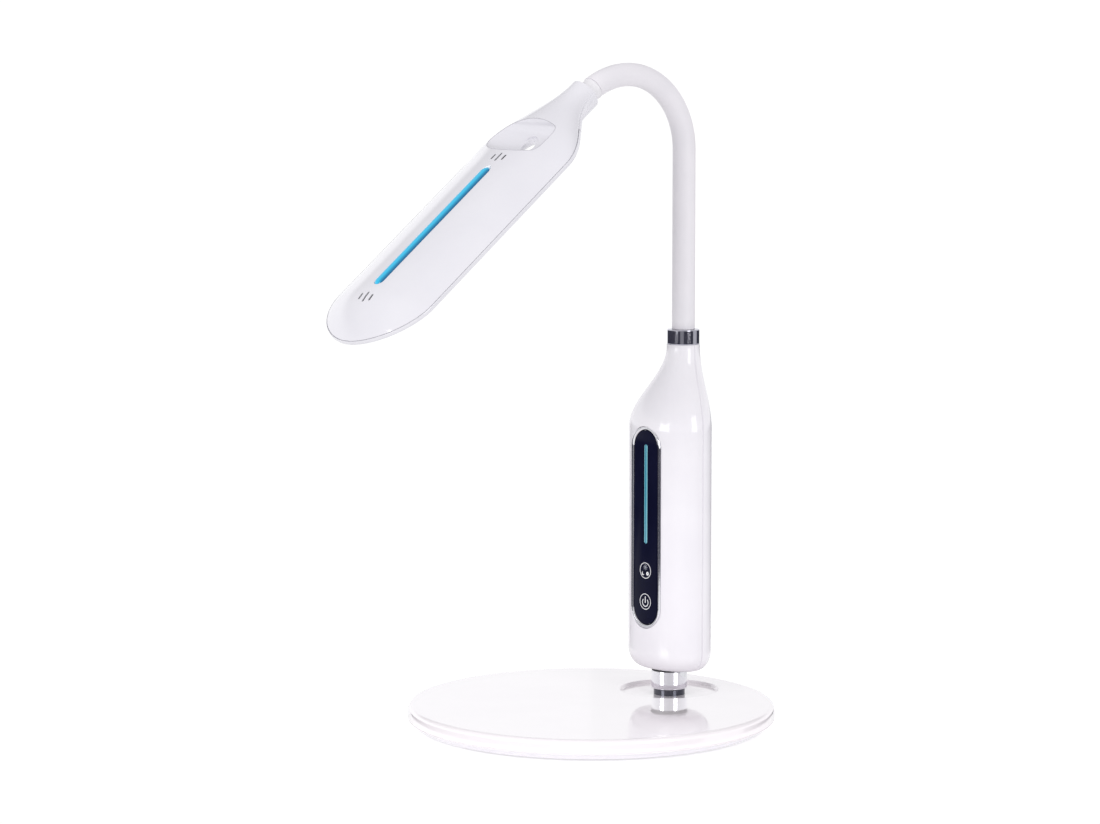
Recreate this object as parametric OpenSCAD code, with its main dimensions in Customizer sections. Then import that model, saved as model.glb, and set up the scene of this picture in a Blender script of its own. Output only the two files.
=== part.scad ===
// Touch-control desk lamp with a round weighted base, a bottle-shaped column,
// a bending gooseneck and a long arched lamp head.
// Millimetres, +Z up, front towards -Y, origin at the centre of the underside.

/* [Base] */
// Diameter of the base disc
base_d = 200; // [180:1:240]
// Height of the base disc above the table
base_h = 12; // [11.8:0.1:16]
// How far the foot is set back from the edge of the disc
foot_set = 6; // [5:0.5:10]
// Wall of the base moulding
base_wall = 2.2; // [1.8:0.1:2.4]
// Radius of the rounded top edge
base_edge_r = 2.5; // [1:0.25:3]
// Height of the rounded lower edge
base_low_h = 4; // [2:0.5:5]
// Thickness of the anti-slip pad
pad_t = 1.2; // [0.8:0.1:1.4]
// How far the anti-slip pad is set back from the edge of the foot
pad_set = 6; // [4:0.5:18]
// Thickness of the bottom cover
cover_t = 2; // [1.6:0.1:2.2]
// How far the ballast disc is set back from the edge of the foot
ballast_set = 4; // [3:0.5:9]
// Thickness of the steel ballast disc
ballast_t = 5.6; // [4:0.1:6]
// Distance of the stem from the rear edge of the base
stem_edge = 42; // [41:1:55]
// Diameter of the recess floor round the stem
recess_d = 51; // [44:1:52]
// Depth of the recess round the stem
recess_depth = 2.2; // [1.6:0.1:2.4]
// Distance of the cover screws from the edge of the foot
cover_screw_set = 26; // [18:1:34]

/* [Stem and swivel] */
// Outer diameter of the stem tube
stem_d = 15.2; // [14.6:0.1:16]
// Bore of the stem tube
stem_bore = 9; // [7:0.5:9.5]
// Diameter of the stem's threaded spigot
spigot_d = 12.4; // [11.6:0.2:13]
// Bare stem that shows between the recess floor and the collar
stem_show = 3.1; // [2:0.1:6]
// Outer diameter of the chrome collar
collar_d = 17.6; // [17:0.1:19]
// Length of collar that shows below the column
collar_show = 12.5; // [6:0.1:16]
// Thickness of the clamp washer
washer_t = 1; // [0.8:0.1:1.2]
// Diameter of the clamp washer
washer_d = 25; // [22:1:28]
// Thickness of the thin nut
nut_h = 2.8; // [2:0.1:3]
// Width of the thin nut across its flats
nut_w = 19; // [17:0.5:21]
// Height of the swivel bush
bush_h = 16; // [12:0.5:20]
// Outer diameter of the swivel bush
bush_d = 20; // [19:0.5:22]
// Diameter of the bush flange
bush_flange_d = 25; // [23:0.5:27]
// Thickness of the bush flange
bush_flange_t = 2.5; // [2:0.1:4]
// Thickness of the retaining ring
ring_clip_t = 1.5; // [1:0.1:2]
// Running clearance of the swivel, on the radius
swivel_gap = 0.06; // [0.02:0.01:0.1]

/* [Column] */
// Width of the column
column_w = 53.2; // [51:0.2:60]
// Depth of the column, front to back
column_depth = 38.4; // [36:0.2:44]
// Length of the column from its underside to the neck ring
column_len = 178.6; // [172:0.2:210]
// Height of the sloping shoulder
shoulder_h = 45; // [35:1:50]
// Diameter of the column at the neck ring
column_top_d = 18.4; // [16.8:0.1:19.4]
// Distance of the neck behind the stem
neck_back = 9.5; // [6:0.5:11]
// Wall of the column shells
shell_wall = 2.2; // [1.8:0.1:2.4]
// Radius of the column's lower edge
column_edge_r = 5; // [3:0.5:7]
// Height of the neck ring
neck_ring_h = 8.3; // [6:0.1:12]
// Diameter of the neck ring
neck_ring_d = 17.8; // [16:0.1:18.2]
// Sideways place of the shell screws
shell_screw_x = 19; // [18.5:0.5:20]
// Thickness of the clamping ribs inside the column
rib_t = 2.5; // [2:0.1:3]

/* [Touch panel] */
// Length of the dark panel
panel_l = 107.8; // [100:0.2:114]
// Width of the dark panel
panel_w = 18.6; // [17.6:0.2:20]
// Thickness of the dark panel
panel_t = 2; // [1.5:0.1:2.5]
// Height of the panel's lower end above the column's underside
panel_up = 25; // [23:0.1:30]
// Width of the bezel's rim
bezel_rim = 2.1; // [1.6:0.1:2.4]
// How far the bezel's face lies behind the column's front
bezel_set = 0.6; // [0.4:0.1:0.9]
// How far the panel's face lies behind the bezel's face
panel_set = 0.4; // [0.2:0.1:0.8]
// Length of the slider light bar
slider_l = 55; // [40:1:60]
// Width of the slider light bar
slider_w = 2.5; // [2:0.1:4]
// Height of the slider's lower end above the panel's lower end
slider_up = 45; // [43:0.1:49]
// Thickness of the control board
board_t = 1.6; // [1:0.1:2]
// Length of the control board
board_l = 100; // [90:1:104]
// Width of the control board
board_w = 20; // [19:0.5:21]

/* [Power inlet] */
// Bore of the power inlet
inlet_bore = 5.6; // [5:0.1:6]
// Diameter of the power inlet's nose
inlet_nose_d = 8; // [7.4:0.1:9]
// Diameter of the power inlet's pin
inlet_pin_d = 2; // [1.6:0.1:2.5]
// Height of the power inlet above the column's underside
inlet_up = 34; // [32:1:60]

/* [Gooseneck] */
// Diameter of the gooseneck
neck_d = 12; // [11:0.5:12.5]
// Straight rise of the gooseneck above the neck ring
neck_rise = 98.5; // [90:0.5:140]
// Radius of the first, upper bend
bend_r = 42; // [38:1:60]
// Radius of the second bend, down to the head
droop_r = 50; // [42:1:70]
// Angle of the head below the horizontal
head_droop = 37.2; // [32:0.1:45]
// Height of the lowest neck joint above the neck ring
first_joint_up = 9.5; // [8:0.5:14]
// Length of the neck's end tube outside the head
end_tube_l = 10.8; // [10:0.2:14]
// Diameter of the ball on each link
ball_d = 11.8; // [10.8:0.1:11.9]
// Clearance between ball and socket
ball_gap = 0.4; // [0.3:0.05:0.45]
// Bore of the links for the wires
wire_bore = 4; // [3:0.5:5]

/* [Lamp head] */
// Length of the head from the end of the neck
head_l = 202.5; // [200:0.5:230]
// Width of the head over its lip
head_w = 77; // [75:0.5:90]
// Height of the crown above the neck's axis
crown_up = 12.2; // [11.9:0.1:14]
// Height of the crown at the neck
stub_up = 9.4; // [9.2:0.1:10.5]
// Half width of the head at the neck
stub_half_w = 8.4; // [8.2:0.1:9.5]
// Length of the widening shoulder
head_shoulder_l = 58; // [54:0.5:59]
// Length of the rounded tip
tip_l = 31; // [26:0.5:33]
// Thickness of the lip round the rim
lip_t = 2.4; // [2.2:0.1:3]
// How far the lip stands out from the cover
lip_out = 0.6; // [0.3:0.1:1]
// Height of the lip's top above the neck's axis
lip_top = 1.8; // [1.6:0.1:1.9]
// Wall of the head cover
head_wall = 1.6; // [1.3:0.1:1.8]
// Distance of the dish from the end of the neck
dish_s = 48; // [46.5:0.5:49]
// Depth line of the dish: its bottom above the neck's axis
dish_bottom = 3.2; // [3.1:0.1:3.6]
// Radius of the dish, along the head
dish_r = 14.2; // [13.6:0.1:14.4]
// Radius of the dish's bow, across the head
dish_bow_r = 90; // [80:1:120]
// Wall under the dish
dish_wall = 2; // [1.8:0.1:2.1]
// Diameter of the eyelet in the dish
eyelet_d = 9; // [7:0.5:10]
// Distance of the accent strip's start from the end of the neck
strip_s = 76; // [75.5:0.5:82]
// Distance of the accent strip's end from the rounded tip
strip_end_gap = 1.5; // [1:0.5:10]
// Width of the accent strip
strip_w = 6.5; // [5:0.1:7]
// How far the accent strip's crown stands above the cover
strip_proud = 1.2; // [0.8:0.1:1.6]
// Pitch of the vent slits across the head
vent_pitch = 4.2; // [3.6:0.1:5]
// Width of a vent slit
vent_w = 0.9; // [0.6:0.1:1.2]
// Distance of the diffuser window from the posts of the LED board
window_gap = 5.5; // [5:0.5:10]
// Width of the diffuser window
window_w = 58; // [50:1:60]
// Thickness of the diffuser's flange
diffuser_t = 1.5; // [1:0.1:1.6]
// Thickness of the LED board
led_board_t = 1.2; // [1:0.1:1.6]
// Width of the LED board
led_board_w = 44; // [40:1:46]
// Rows of LEDs along the head
led_rows = 10; // [6:1:12]
// Rows of LEDs across the head
led_cols = 4; // [2:1:5]

/* [Fits] */
// Clearance between pieces that are set into each other
fit_gap = 0.15; // [0.1:0.05:0.2]
// Clearance round a screw
screw_gap = 0.1; // [0.05:0.05:0.15]
// Diameter of the large screws
screw_d = 3; // [2.5:0.1:3]
// Diameter of the small screws
small_screw_d = 2; // [1.6:0.1:2.2]

/* [Hidden] */
$fn = 64;

// Sizes and heights in the base and the stem
foot_d = base_d - 2 * foot_set;
pad_d = foot_d - 2 * pad_set;
ballast_d = foot_d - 2 * ballast_set;
cover_screw_r = foot_d / 2 - cover_screw_set;
stem_back = base_d / 2 - stem_edge;
foot_z = pad_t + cover_t;
recess_z = base_h - recess_depth;
recess_under_z = recess_z - base_wall;
collar_z = recess_z + stem_show;
column_z = collar_z + collar_show;
column_top_z = column_z + column_len;
ring_top_z = column_top_z + neck_ring_h;
foot_lip = 1;
nut_z = recess_under_z - washer_t - nut_h;
floor_z = column_z + shell_wall;
bush_play = 0.3;
bush_rib_z = floor_z + bush_flange_t + bush_play;
bush_top_z = floor_z + bush_h;
clip_play = 0.1;
clip_z = bush_top_z + 2 * clip_play;
clip_groove_d = stem_d - 2;
clip_d = stem_d + 4;
clip_slot_w = 4;
stem_over = 2;
stem_top_z = clip_z + ring_clip_t + stem_over;
cover_boss_d = 8;
cover_screw_head_d = 5.6;
cover_screw_head_t = 1.2;
cover_screw_l = 3.4;
screw_end_room = 0.5;
nut_room = 6;
recess_flare = 3.8;
recess_seat_d = recess_d + 2 * base_wall + 4;
cut = 1;

// Shape of the column
half_w = column_w / 2;
half_depth = column_depth / 2;
top_r = column_top_d / 2;
shoulder_land = 1.2;
shoulder_z = column_top_z - shoulder_h - shoulder_land;
top_wall = 4;
half_steps = 24;
shoulder_steps = 10;
edge_steps = 4;
shell_screw_low = 17;
shell_screw_down = 54;
shell_screw_up = [shell_screw_low, column_len - shell_screw_down];
shell_boss_d = 7;
shell_head_d = 5.6;
shell_screw_top = 4;
shell_screw_head_back = 9;
shell_head_t = 1.8;
neck_rib_down = 22;
neck_rib_z = column_top_z - neck_rib_down;
neck_ear_w = 19;
neck_ear_depth = 7;
neck_ear_t = 2.5;
neck_ear_back = 2;
neck_clip_t = 1.2;
neck_clip_play = 0.05;
neck_clip_z = neck_rib_z - neck_clip_t - 0.15;
neck_clip_d = neck_d + 1.2;
neck_groove_d = neck_d - 2;
neck_tail = 4;

// Panel, measured forward from the stem's axis
bezel_face = half_depth - bezel_set;
panel_face = bezel_face - panel_set;
panel_back = panel_face - panel_t;
ledge_t = 1.2;
ledge_in = 1;
bezel_w = panel_w + 2 * bezel_rim;
bezel_l = panel_l + 2 * bezel_rim;
bezel_flange_out = 2;
bezel_flange_t = 2;
bezel_depth = 5.2;
bezel_flange_face = bezel_face - bezel_depth;
bezel_window_w = 12;
bezel_window_l = panel_l - 12;
panel_mid_z = column_z + panel_up + panel_l / 2;
slider_mid_z = column_z + panel_up + slider_up + slider_l / 2;
slider_flange = 1.5;
slider_flange_t = 1;
standoff_l = 1.4;
standoff_d = 4;
board_face = bezel_flange_face - bezel_flange_t - standoff_l;
board_screw_x = board_w / 2 - 2.5;
board_screw_z = board_l / 2 - 4;
board_screw_head_d = 3.6;
board_screw_head_t = 1.2;
chip_at = [[0, -16], [0, 10.5], [0, 28.5]];
chip_size = [[8, 8, 1.6], [6, 5, 1.8], [10, 5, 4]];
capacitor_at = [0, -34];
capacitor_d = 6;
slider_lamps = 7;
slider_lamp_size = [2, 1.6, 1.2];
slider_lamp_pitch = (slider_l - 8) / (slider_lamps - 1);
touch_pad_up = [14, 31];
touch_pad_d = 9;

// Path of the gooseneck in the plane of symmetry: [forward, height, angle]
neck_y = stem_back + neck_back;
arc_l = bend_r * PI / 2;
droop_l = droop_r * head_droop * PI / 180;
path_l = neck_rise + arc_l + droop_l;
joint_count = 12;
joint_pitch = (path_l - first_joint_up - end_tube_l) / (joint_count - 1);
socket_r = ball_d / 2 + ball_gap;

function on_rise(u) = [0, ring_top_z + u, 0];
function on_bend(a) = [bend_r * (1 - cos(a)), ring_top_z + neck_rise + bend_r * sin(a), a];
function on_droop(a) = [
    bend_r + droop_r * sin(a),
    ring_top_z + neck_rise + bend_r - droop_r * (1 - cos(a)),
    90 + a
];
function neck_at(u) =
    u <= neck_rise ? on_rise(u)
    : u <= neck_rise + arc_l ? on_bend((u - neck_rise) / bend_r * 180 / PI)
    : on_droop((u - neck_rise - arc_l) / droop_r * 180 / PI);
function joint_at(i) = neck_at(first_joint_up + i * joint_pitch);
function chord(p, q) = norm([q[0] - p[0], q[1] - p[1]]);
function lean(p, q) = atan2(q[0] - p[0], q[1] - p[1]);

neck_end = neck_at(path_l);
last_joint = joint_at(joint_count - 1);
end_lean = lean(last_joint, neck_end);
end_tube_in = 16;
end_flange_d = neck_d + 1;
end_flange_t = 2.5;

// Shape of the head: s runs along it from the neck, n is up from the neck's axis
head_half = head_w / 2 - lip_out;
tip_s = head_l - tip_l;
tip_power = 1.8;
tip_cut = 0.995;
stub_wall = 3;
saddle_l = 30;
keel_l = 12;
arch_steps = 18;
dish_axis_n = dish_bottom + dish_r;
dish_half = 36;
lip_bottom = lip_top - lip_t;
tray_depth = 0.9;
tray_floor = lip_top - tray_depth;
tray_rim = 3.2;
diffuser_lap = 2;
led_post_d = 5;
led_pin_d = 2;
led_board_from_dish = 11;
led_board_into_tip = 13.5;
led_board_s = [dish_s + led_board_from_dish, tip_s + led_board_into_tip];
led_post_in = 3.5;
led_post_s = [led_board_s[0] + led_post_in, led_board_s[1] - led_post_in];
window_l = led_post_s[1] - led_post_s[0] - 2 * window_gap;
window_mid = (led_post_s[0] + led_post_s[1]) / 2;
led_post_side = 4;
led_post_x = led_board_w / 2 - led_post_side;
led_post_h = 2.5;
led_board_n = tray_floor + led_post_h;
led_size = [3.5, 2.8, 0.7];
strip_l = tip_s - strip_end_gap - strip_s;
strip_flange = 1.5;
strip_flange_t = 1.2;
strip_drop = 0.3;
strip_root = 3;
slot_down = 6;
dish_step = 0.6;
dish_step_d = eyelet_d + 4.6;
window_r = 8;
diffuser_set = 0.2;
post_root = 0.5;
vent_from_dish = 19;
vent_into_tip = 7.5;
vent_s = [dish_s + vent_from_dish, tip_s + vent_into_tip];
vent_l = [4, 6.5, 4];
saddle_screw = [24, 13];
shoulder_screw = [56, 27];
tip_screw_in = 19.5;
tip_screw_side = 12;
head_screw_at = [saddle_screw, shoulder_screw, [tip_s + tip_screw_in, tip_screw_side]];
head_boss_d = 6;
head_screw_head_d = 4.6;
head_screw_head_t = 1.2;
head_screw_l = 3.2;

white = [0.93, 0.93, 0.95];
soft_white = [0.86, 0.86, 0.88];
chrome = [0.72, 0.73, 0.76];
steel = [0.45, 0.46, 0.48];
dark = [0.07, 0.08, 0.12];
board_green = [0.12, 0.36, 0.22];
blue = [0.1, 0.55, 0.85];
lamp_yellow = [0.95, 0.9, 0.55];

// Smooth step from 0 to 1
function ease(t) = t <= 0 ? 0 : t >= 1 ? 1 : 0.5 - 0.5 * cos(180 * t);

// Closed solid through loops with equal numbers of points
module loft(loops) {
    n = len(loops[0]);
    last = len(loops) - 1;
    sides = [
        for (j = [0 : last - 1], i = [0 : n - 1])
            let (a = j * n + i, b = j * n + (i + 1) % n)
                each [[a, b + n, b], [a, a + n, b + n]]
    ];
    caps = [[for (i = [0 : n - 1]) i], [for (i = [n - 1 : -1 : 0]) last * n + i]];
    polyhedron([for (l = loops) each l], concat(sides, caps), convexity = 8);
}

// Outline with round ends, long side along the second axis
function capsule(w, l, steps = 16) = [
    for (end = [1, -1], i = [0 : steps])
        let (a = (end > 0 ? 0 : 180) + 180 * i / steps)
            [w / 2 * cos(a), end * (l - w) / 2 + w / 2 * sin(a)]
];

// Rectangle with rounded corners
function rounded(w, l, r, steps = 6) = [
    for (k = [0 : 3], i = [0 : steps])
        let (
            a = 90 * (k + i / steps),
            sx = k == 0 || k == 3 ? 1 : -1,
            sy = k < 2 ? 1 : -1
        )
            [sx * (w / 2 - r) + r * cos(a), sy * (l / 2 - r) + r * sin(a)]
];

module ring_at(d_out, d_in, h) {
    difference() {
        cylinder(d = d_out, h = h);
        translate([0, 0, -1]) cylinder(d = d_in, h = h + 2);
    }
}

// Places on the stem, on the panel and on the head
module at_stem(z = 0) translate([0, stem_back, z]) children();
module at_front(z, forward) translate([0, stem_back - forward, z]) rotate([90, 0, 0]) children();
module at_head() {
    translate([0, neck_y - neck_end[0], neck_end[1]]) rotate([head_droop, 0, 0]) children();
}
module at_joint(p, angle) translate([0, neck_y - p[0], p[1]]) rotate([angle, 0, 0]) children();
module at_cover_screws() {
    for (a = [45, 135, 225, 315]) rotate([0, 0, a]) translate([cover_screw_r, 0, 0]) children();
}

// Base

module base_disc() {
    edge = [
        for (a = [0 : 15 : 90])
            [base_d / 2 - base_edge_r * (1 - cos(a)), base_h - base_edge_r * (1 - sin(a))]
    ];
    foot_r = foot_d / 2 + foot_lip;
    low_edge = [
        for (a = [0 : 15 : 90])
            [foot_r + (base_d / 2 - foot_r) * sin(a), foot_z + base_low_h * (1 - cos(a))]
    ];
    rotate_extrude($fn = 128) polygon(concat([[0, foot_z]], low_edge, edge, [[0, base_h]]));
}

module base_shell() color(white) difference() {
    base_disc();
    difference() {
        translate([0, 0, foot_z - 1])
            cylinder(d = foot_d + 2 * foot_lip - 2 * base_wall, h = base_h - base_wall - foot_z + 1);
        at_stem(recess_under_z) cylinder(d = recess_seat_d, h = base_h);
        at_cover_screws() translate([0, 0, foot_z]) cylinder(d = cover_boss_d, h = base_h);
    }
    at_stem(recess_z) cylinder(d1 = recess_d, d2 = recess_d + recess_flare, h = recess_depth + 0.001);
    at_stem(foot_z) cylinder(d = spigot_d + 2 * fit_gap, h = base_h);
    at_cover_screws()
        translate([0, 0, foot_z - cut])
            cylinder(d = screw_d + 2 * screw_gap, h = cover_screw_l + screw_end_room + cut);
}

module base_ballast() color(steel) difference() {
    translate([0, 0, foot_z]) cylinder(d = ballast_d, h = ballast_t, $fn = 128);
    at_stem(foot_z - 1) cylinder(d = washer_d + nut_room, h = base_h);
    at_stem(recess_under_z - 2 * screw_gap) cylinder(d = recess_seat_d + 2, h = base_h);
    at_cover_screws()
        translate([0, 0, foot_z - 1]) cylinder(d = cover_boss_d + 1, h = base_h);
}

module base_cover() color(soft_white) difference() {
    translate([0, 0, pad_t]) cylinder(d = foot_d, h = cover_t, $fn = 128);
    at_cover_screws() {
        cylinder(d = screw_d + 2 * screw_gap, h = base_h);
        cylinder(d = cover_screw_head_d + 2 * fit_gap, h = pad_t + cover_screw_head_t);
    }
}

module base_pad() color(dark) cylinder(d = pad_d, h = pad_t, $fn = 128);

module base_screws() color(steel) at_cover_screws() translate([0, 0, pad_t]) {
    cylinder(d = cover_screw_head_d, h = cover_screw_head_t);
    cylinder(d = screw_d, h = cover_t + cover_screw_l);
}

// Stem and swivel

module stem_tube() color(chrome) at_stem() difference() {
    union() {
        translate([0, 0, nut_z]) cylinder(d = spigot_d, h = recess_z - nut_z + 1);
        translate([0, 0, recess_z]) cylinder(d = stem_d, h = stem_top_z - recess_z);
    }
    translate([0, 0, nut_z - 1]) cylinder(d = stem_bore, h = stem_top_z);
    translate([0, 0, clip_z]) ring_at(stem_d + 2, clip_groove_d, ring_clip_t);
}

module stem_washer() color(steel) at_stem(recess_under_z - washer_t)
    ring_at(washer_d, spigot_d + 2 * fit_gap, washer_t);

module stem_nut() color(steel) at_stem(nut_z) difference() {
    cylinder(d = nut_w / cos(30), h = nut_h, $fn = 6);
    translate([0, 0, -1]) cylinder(d = spigot_d + 2 * screw_gap, h = nut_h + 2);
}

module stem_clip() color(steel) at_stem(clip_z + clip_play) difference() {
    ring_at(clip_d, clip_groove_d + 2 * screw_gap, ring_clip_t - 2 * clip_play);
    translate([-clip_slot_w / 2, 0, -1]) cube([clip_slot_w, clip_d, ring_clip_t + 2]);
}

module stem_collar() color(chrome) at_stem(collar_z)
    ring_at(collar_d, stem_d + 2 * swivel_gap, floor_z - collar_z);

module swivel_bush() color(soft_white) at_stem(floor_z) difference() {
    union() {
        cylinder(d = bush_flange_d, h = bush_flange_t);
        cylinder(d = bush_d, h = bush_h);
    }
    translate([0, 0, -1]) cylinder(d = stem_d + 2 * swivel_gap, h = bush_h + 2);
}

// Column

function slope(z) = 1 - ease((z - shoulder_z) / shoulder_h);
function column_q(z) = top_r + (half_w - top_r) * slope(z);
function column_p(z) = top_r + (half_depth - top_r) * slope(z);
function column_shift(z) = -neck_back * (1 - slope(z));
function edge_inset(z, r) = z >= r ? 0 : r - sqrt(max(0, r * r - (r - z) * (r - z)));

// Half section of the column: side is 1 for the front half and -1 for the rear half
function column_loop(z, inset, side, over) = [
    for (p = concat(
        [for (i = [0 : half_steps])
            let (a = 180 * i / half_steps)
                [(column_q(z) - inset) * cos(a), side * (column_p(z) - inset) * sin(a)]],
        over > 0 ? [
            [-(column_q(z) - inset), -side * over],
            [column_q(z) - inset, -side * over]
        ] : []))
        [p[0], stem_back - column_shift(z) - p[1], z]
];
outer_z = concat(
    [for (i = [0 : edge_steps]) column_z + column_edge_r * (1 - cos(90 * i / edge_steps))],
    [for (i = [0 : shoulder_steps]) shoulder_z + shoulder_h * i / shoulder_steps],
    [column_top_z]
);
inner_edge_r = column_edge_r - shell_wall;
inner_z = concat(
    [for (i = [0 : edge_steps]) floor_z + inner_edge_r * (1 - cos(90 * i / edge_steps))],
    [for (i = [0 : shoulder_steps - 1]) shoulder_z + shoulder_h * i / shoulder_steps],
    [column_top_z - top_wall]
);
function in_order(loops, side) = side > 0 ? [for (i = [len(loops) - 1 : -1 : 0]) loops[i]] : loops;

module column_half(side) {
    loft(in_order([
        for (z = outer_z)
            column_loop(z, edge_inset(z - column_z, column_edge_r), side, 0)
    ], side));
}

module column_hollow(side) {
    loft(in_order([
        for (z = inner_z)
            column_loop(z, shell_wall + edge_inset(z - floor_z, inner_edge_r), side, 1)
    ], side));
}

module rib_slab(z) translate([-column_w, stem_back - column_depth, z])
    cube([2 * column_w, 2 * column_depth, rib_t]);

module at_shell_screws() {
    for (x = [-shell_screw_x, shell_screw_x], up = shell_screw_up)
        translate([x, stem_back, column_z + up]) rotate([90, 0, 0]) children();
}

module column_shell(side) {
    difference() {
        column_half(side);
        difference() {
            column_hollow(side);
            rib_slab(bush_rib_z);
            rib_slab(neck_rib_z);
            at_shell_screws() translate([0, 0, -half_depth]) cylinder(d = shell_boss_d, h = column_depth);
        }
        at_stem(column_z - 1) cylinder(d = collar_d + 2 * fit_gap, h = shell_wall + 2);
        at_stem(bush_rib_z - 1) cylinder(d = bush_d + 2 * fit_gap, h = rib_t + 2);
        translate([0, neck_y, neck_rib_z - 1])
            cylinder(d = neck_d + 2 * fit_gap, h = column_top_z - neck_rib_z + 2);
    }
}

module front_shell() color(white) difference() {
    column_shell(1);
    at_front(panel_mid_z, 0)
        linear_extrude(column_depth) polygon(capsule(bezel_w + 2 * fit_gap, bezel_l + 2 * fit_gap));
    at_shell_screws()
        translate([0, 0, -1]) cylinder(d = screw_d + 2 * screw_gap, h = shell_screw_top + 1.5);
}

module rear_shell() color(white) difference() {
    column_shell(-1);
    at_shell_screws() {
        translate([0, 0, -half_depth]) cylinder(d = screw_d + 2 * screw_gap, h = column_depth);
        translate([0, 0, -column_depth])
            cylinder(d = shell_head_d + 2 * fit_gap, h = column_depth - shell_screw_head_back);
    }
    at_front(column_z + inlet_up, -column_depth)
        cylinder(d = inlet_nose_d + 2 * fit_gap, h = column_depth - half_depth / 2);
}

module shell_screws() color(steel) at_shell_screws() {
    translate([0, 0, -shell_screw_head_back])
        cylinder(d = screw_d, h = shell_screw_head_back + shell_screw_top);
    translate([0, 0, -shell_screw_head_back - shell_head_t]) cylinder(d = shell_head_d, h = shell_head_t);
}

// Touch panel

module panel_bezel() color(chrome) difference() {
    union() {
        at_front(panel_mid_z, bezel_flange_face)
            linear_extrude(bezel_face - bezel_flange_face) polygon(capsule(bezel_w, bezel_l));
        at_front(panel_mid_z, bezel_flange_face - bezel_flange_t)
            linear_extrude(bezel_flange_t)
                polygon(capsule(bezel_w + 2 * bezel_flange_out, bezel_l + 2 * bezel_flange_out));
        at_board_screws(board_face) cylinder(d = standoff_d, h = standoff_l + 1);
    }
    at_front(panel_mid_z, panel_back)
        linear_extrude(column_depth) polygon(capsule(panel_w + 2 * fit_gap, panel_l + 2 * fit_gap));
    at_front(panel_mid_z, panel_back - ledge_t)
        linear_extrude(column_depth) polygon(capsule(panel_w - 2 * ledge_in, panel_l - 2 * ledge_in));
    at_front(panel_mid_z, 0)
        linear_extrude(column_depth) polygon(capsule(bezel_window_w, bezel_window_l));
    at_board_screws(board_face - 1) cylinder(d = small_screw_d + 2 * screw_gap, h = standoff_l + 2.5);
}

module touch_panel() color(dark) at_front(panel_mid_z, panel_back) difference() {
    linear_extrude(panel_t) polygon(capsule(panel_w, panel_l));
    translate([0, slider_mid_z - panel_mid_z, -1])
        linear_extrude(panel_t + 2) polygon(capsule(slider_w + 2 * fit_gap, slider_l + 2 * fit_gap));
}

module slider_bar() color(blue) at_front(slider_mid_z, panel_back) {
    linear_extrude(panel_t - 0.1) polygon(capsule(slider_w, slider_l));
    translate([0, 0, -slider_flange_t])
        linear_extrude(slider_flange_t)
            polygon(capsule(slider_w + 2 * slider_flange, slider_l + 2 * slider_flange));
}

module at_board_screws(forward) {
    for (x = [-board_screw_x, board_screw_x], z = [-board_screw_z, board_screw_z])
        at_front(panel_mid_z + z, forward) translate([x, 0, 0]) children();
}

module control_board() color(board_green) difference() {
    at_front(panel_mid_z, board_face - board_t)
        translate([-board_w / 2, -board_l / 2, 0]) cube([board_w, board_l, board_t]);
    at_board_screws(board_face - board_t - 1) cylinder(d = small_screw_d + 2 * screw_gap, h = board_t + 2);
}

// Chips and plugs on the back of the board, slider lamps and two touch pads on its front
module board_parts() color(dark) {
    at_front(panel_mid_z, board_face - board_t) mirror([0, 0, 1]) {
        for (i = [0 : len(chip_at) - 1])
            let (size = chip_size[i])
                translate([chip_at[i][0] - size[0] / 2, chip_at[i][1] - size[1] / 2, 0]) cube(size);
        translate(capacitor_at) cylinder(d = capacitor_d, h = capacitor_d);
    }
    at_front(slider_mid_z, board_face)
        for (i = [0 : slider_lamps - 1])
            let (up = (i - (slider_lamps - 1) / 2) * slider_lamp_pitch)
                translate([-slider_lamp_size[0] / 2, up - slider_lamp_size[1] / 2, 0])
                    cube(slider_lamp_size);
    for (up = touch_pad_up)
        at_front(column_z + panel_up + up, board_face)
            cylinder(d = touch_pad_d, h = panel_back - board_face - 2 * fit_gap);
}

module board_screws() color(steel) at_board_screws(board_face - board_t) {
    mirror([0, 0, 1]) cylinder(d = board_screw_head_d, h = board_screw_head_t);
    cylinder(d = small_screw_d, h = board_t + standoff_l + 1);
}

// Power inlet in the rear shell

inlet_body = [9, 11, 12];
inlet_depth = 9;
inlet_seat = half_depth - shell_wall - 0.6;
inlet_nose_set = 0.4;
inlet_pin_set = 2;

module at_inlet() translate([0, stem_back + inlet_seat, column_z + inlet_up])
    rotate([-90, 0, 0]) children();

module inlet_socket() color(dark) at_inlet() difference() {
    union() {
        translate([-inlet_body[0] / 2, -inlet_body[1] / 2, -inlet_body[2]]) cube(inlet_body);
        translate([0, 0, -1]) cylinder(d = inlet_nose_d, h = half_depth - inlet_seat + 1 - inlet_nose_set);
    }
    translate([0, 0, half_depth - inlet_seat - inlet_depth]) cylinder(d = inlet_bore, h = inlet_depth);
}

module inlet_pin() color(chrome) at_inlet() translate([0, 0, half_depth - inlet_seat - inlet_depth])
    cylinder(d = inlet_pin_d, h = inlet_depth - inlet_pin_set);

// Gooseneck

module neck_root() color(white) {
    p = joint_at(0);
    difference() {
        union() {
            translate([0, neck_y, neck_rib_z - neck_tail])
                cylinder(d = neck_d, h = p[1] - neck_rib_z + neck_tail);
            translate([-neck_ear_w / 2, neck_y + neck_ear_back - neck_ear_depth, neck_rib_z + rib_t])
                cube([neck_ear_w, neck_ear_depth, neck_ear_t]);
            at_joint(p, 0) sphere(d = ball_d);
        }
        translate([0, neck_y, neck_rib_z - neck_tail - 1]) cylinder(d = wire_bore, h = p[1]);
        translate([0, neck_y, neck_clip_z - neck_clip_play])
            ring_at(neck_d + 2, neck_groove_d, neck_clip_t + 2 * neck_clip_play);
    }
}

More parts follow.
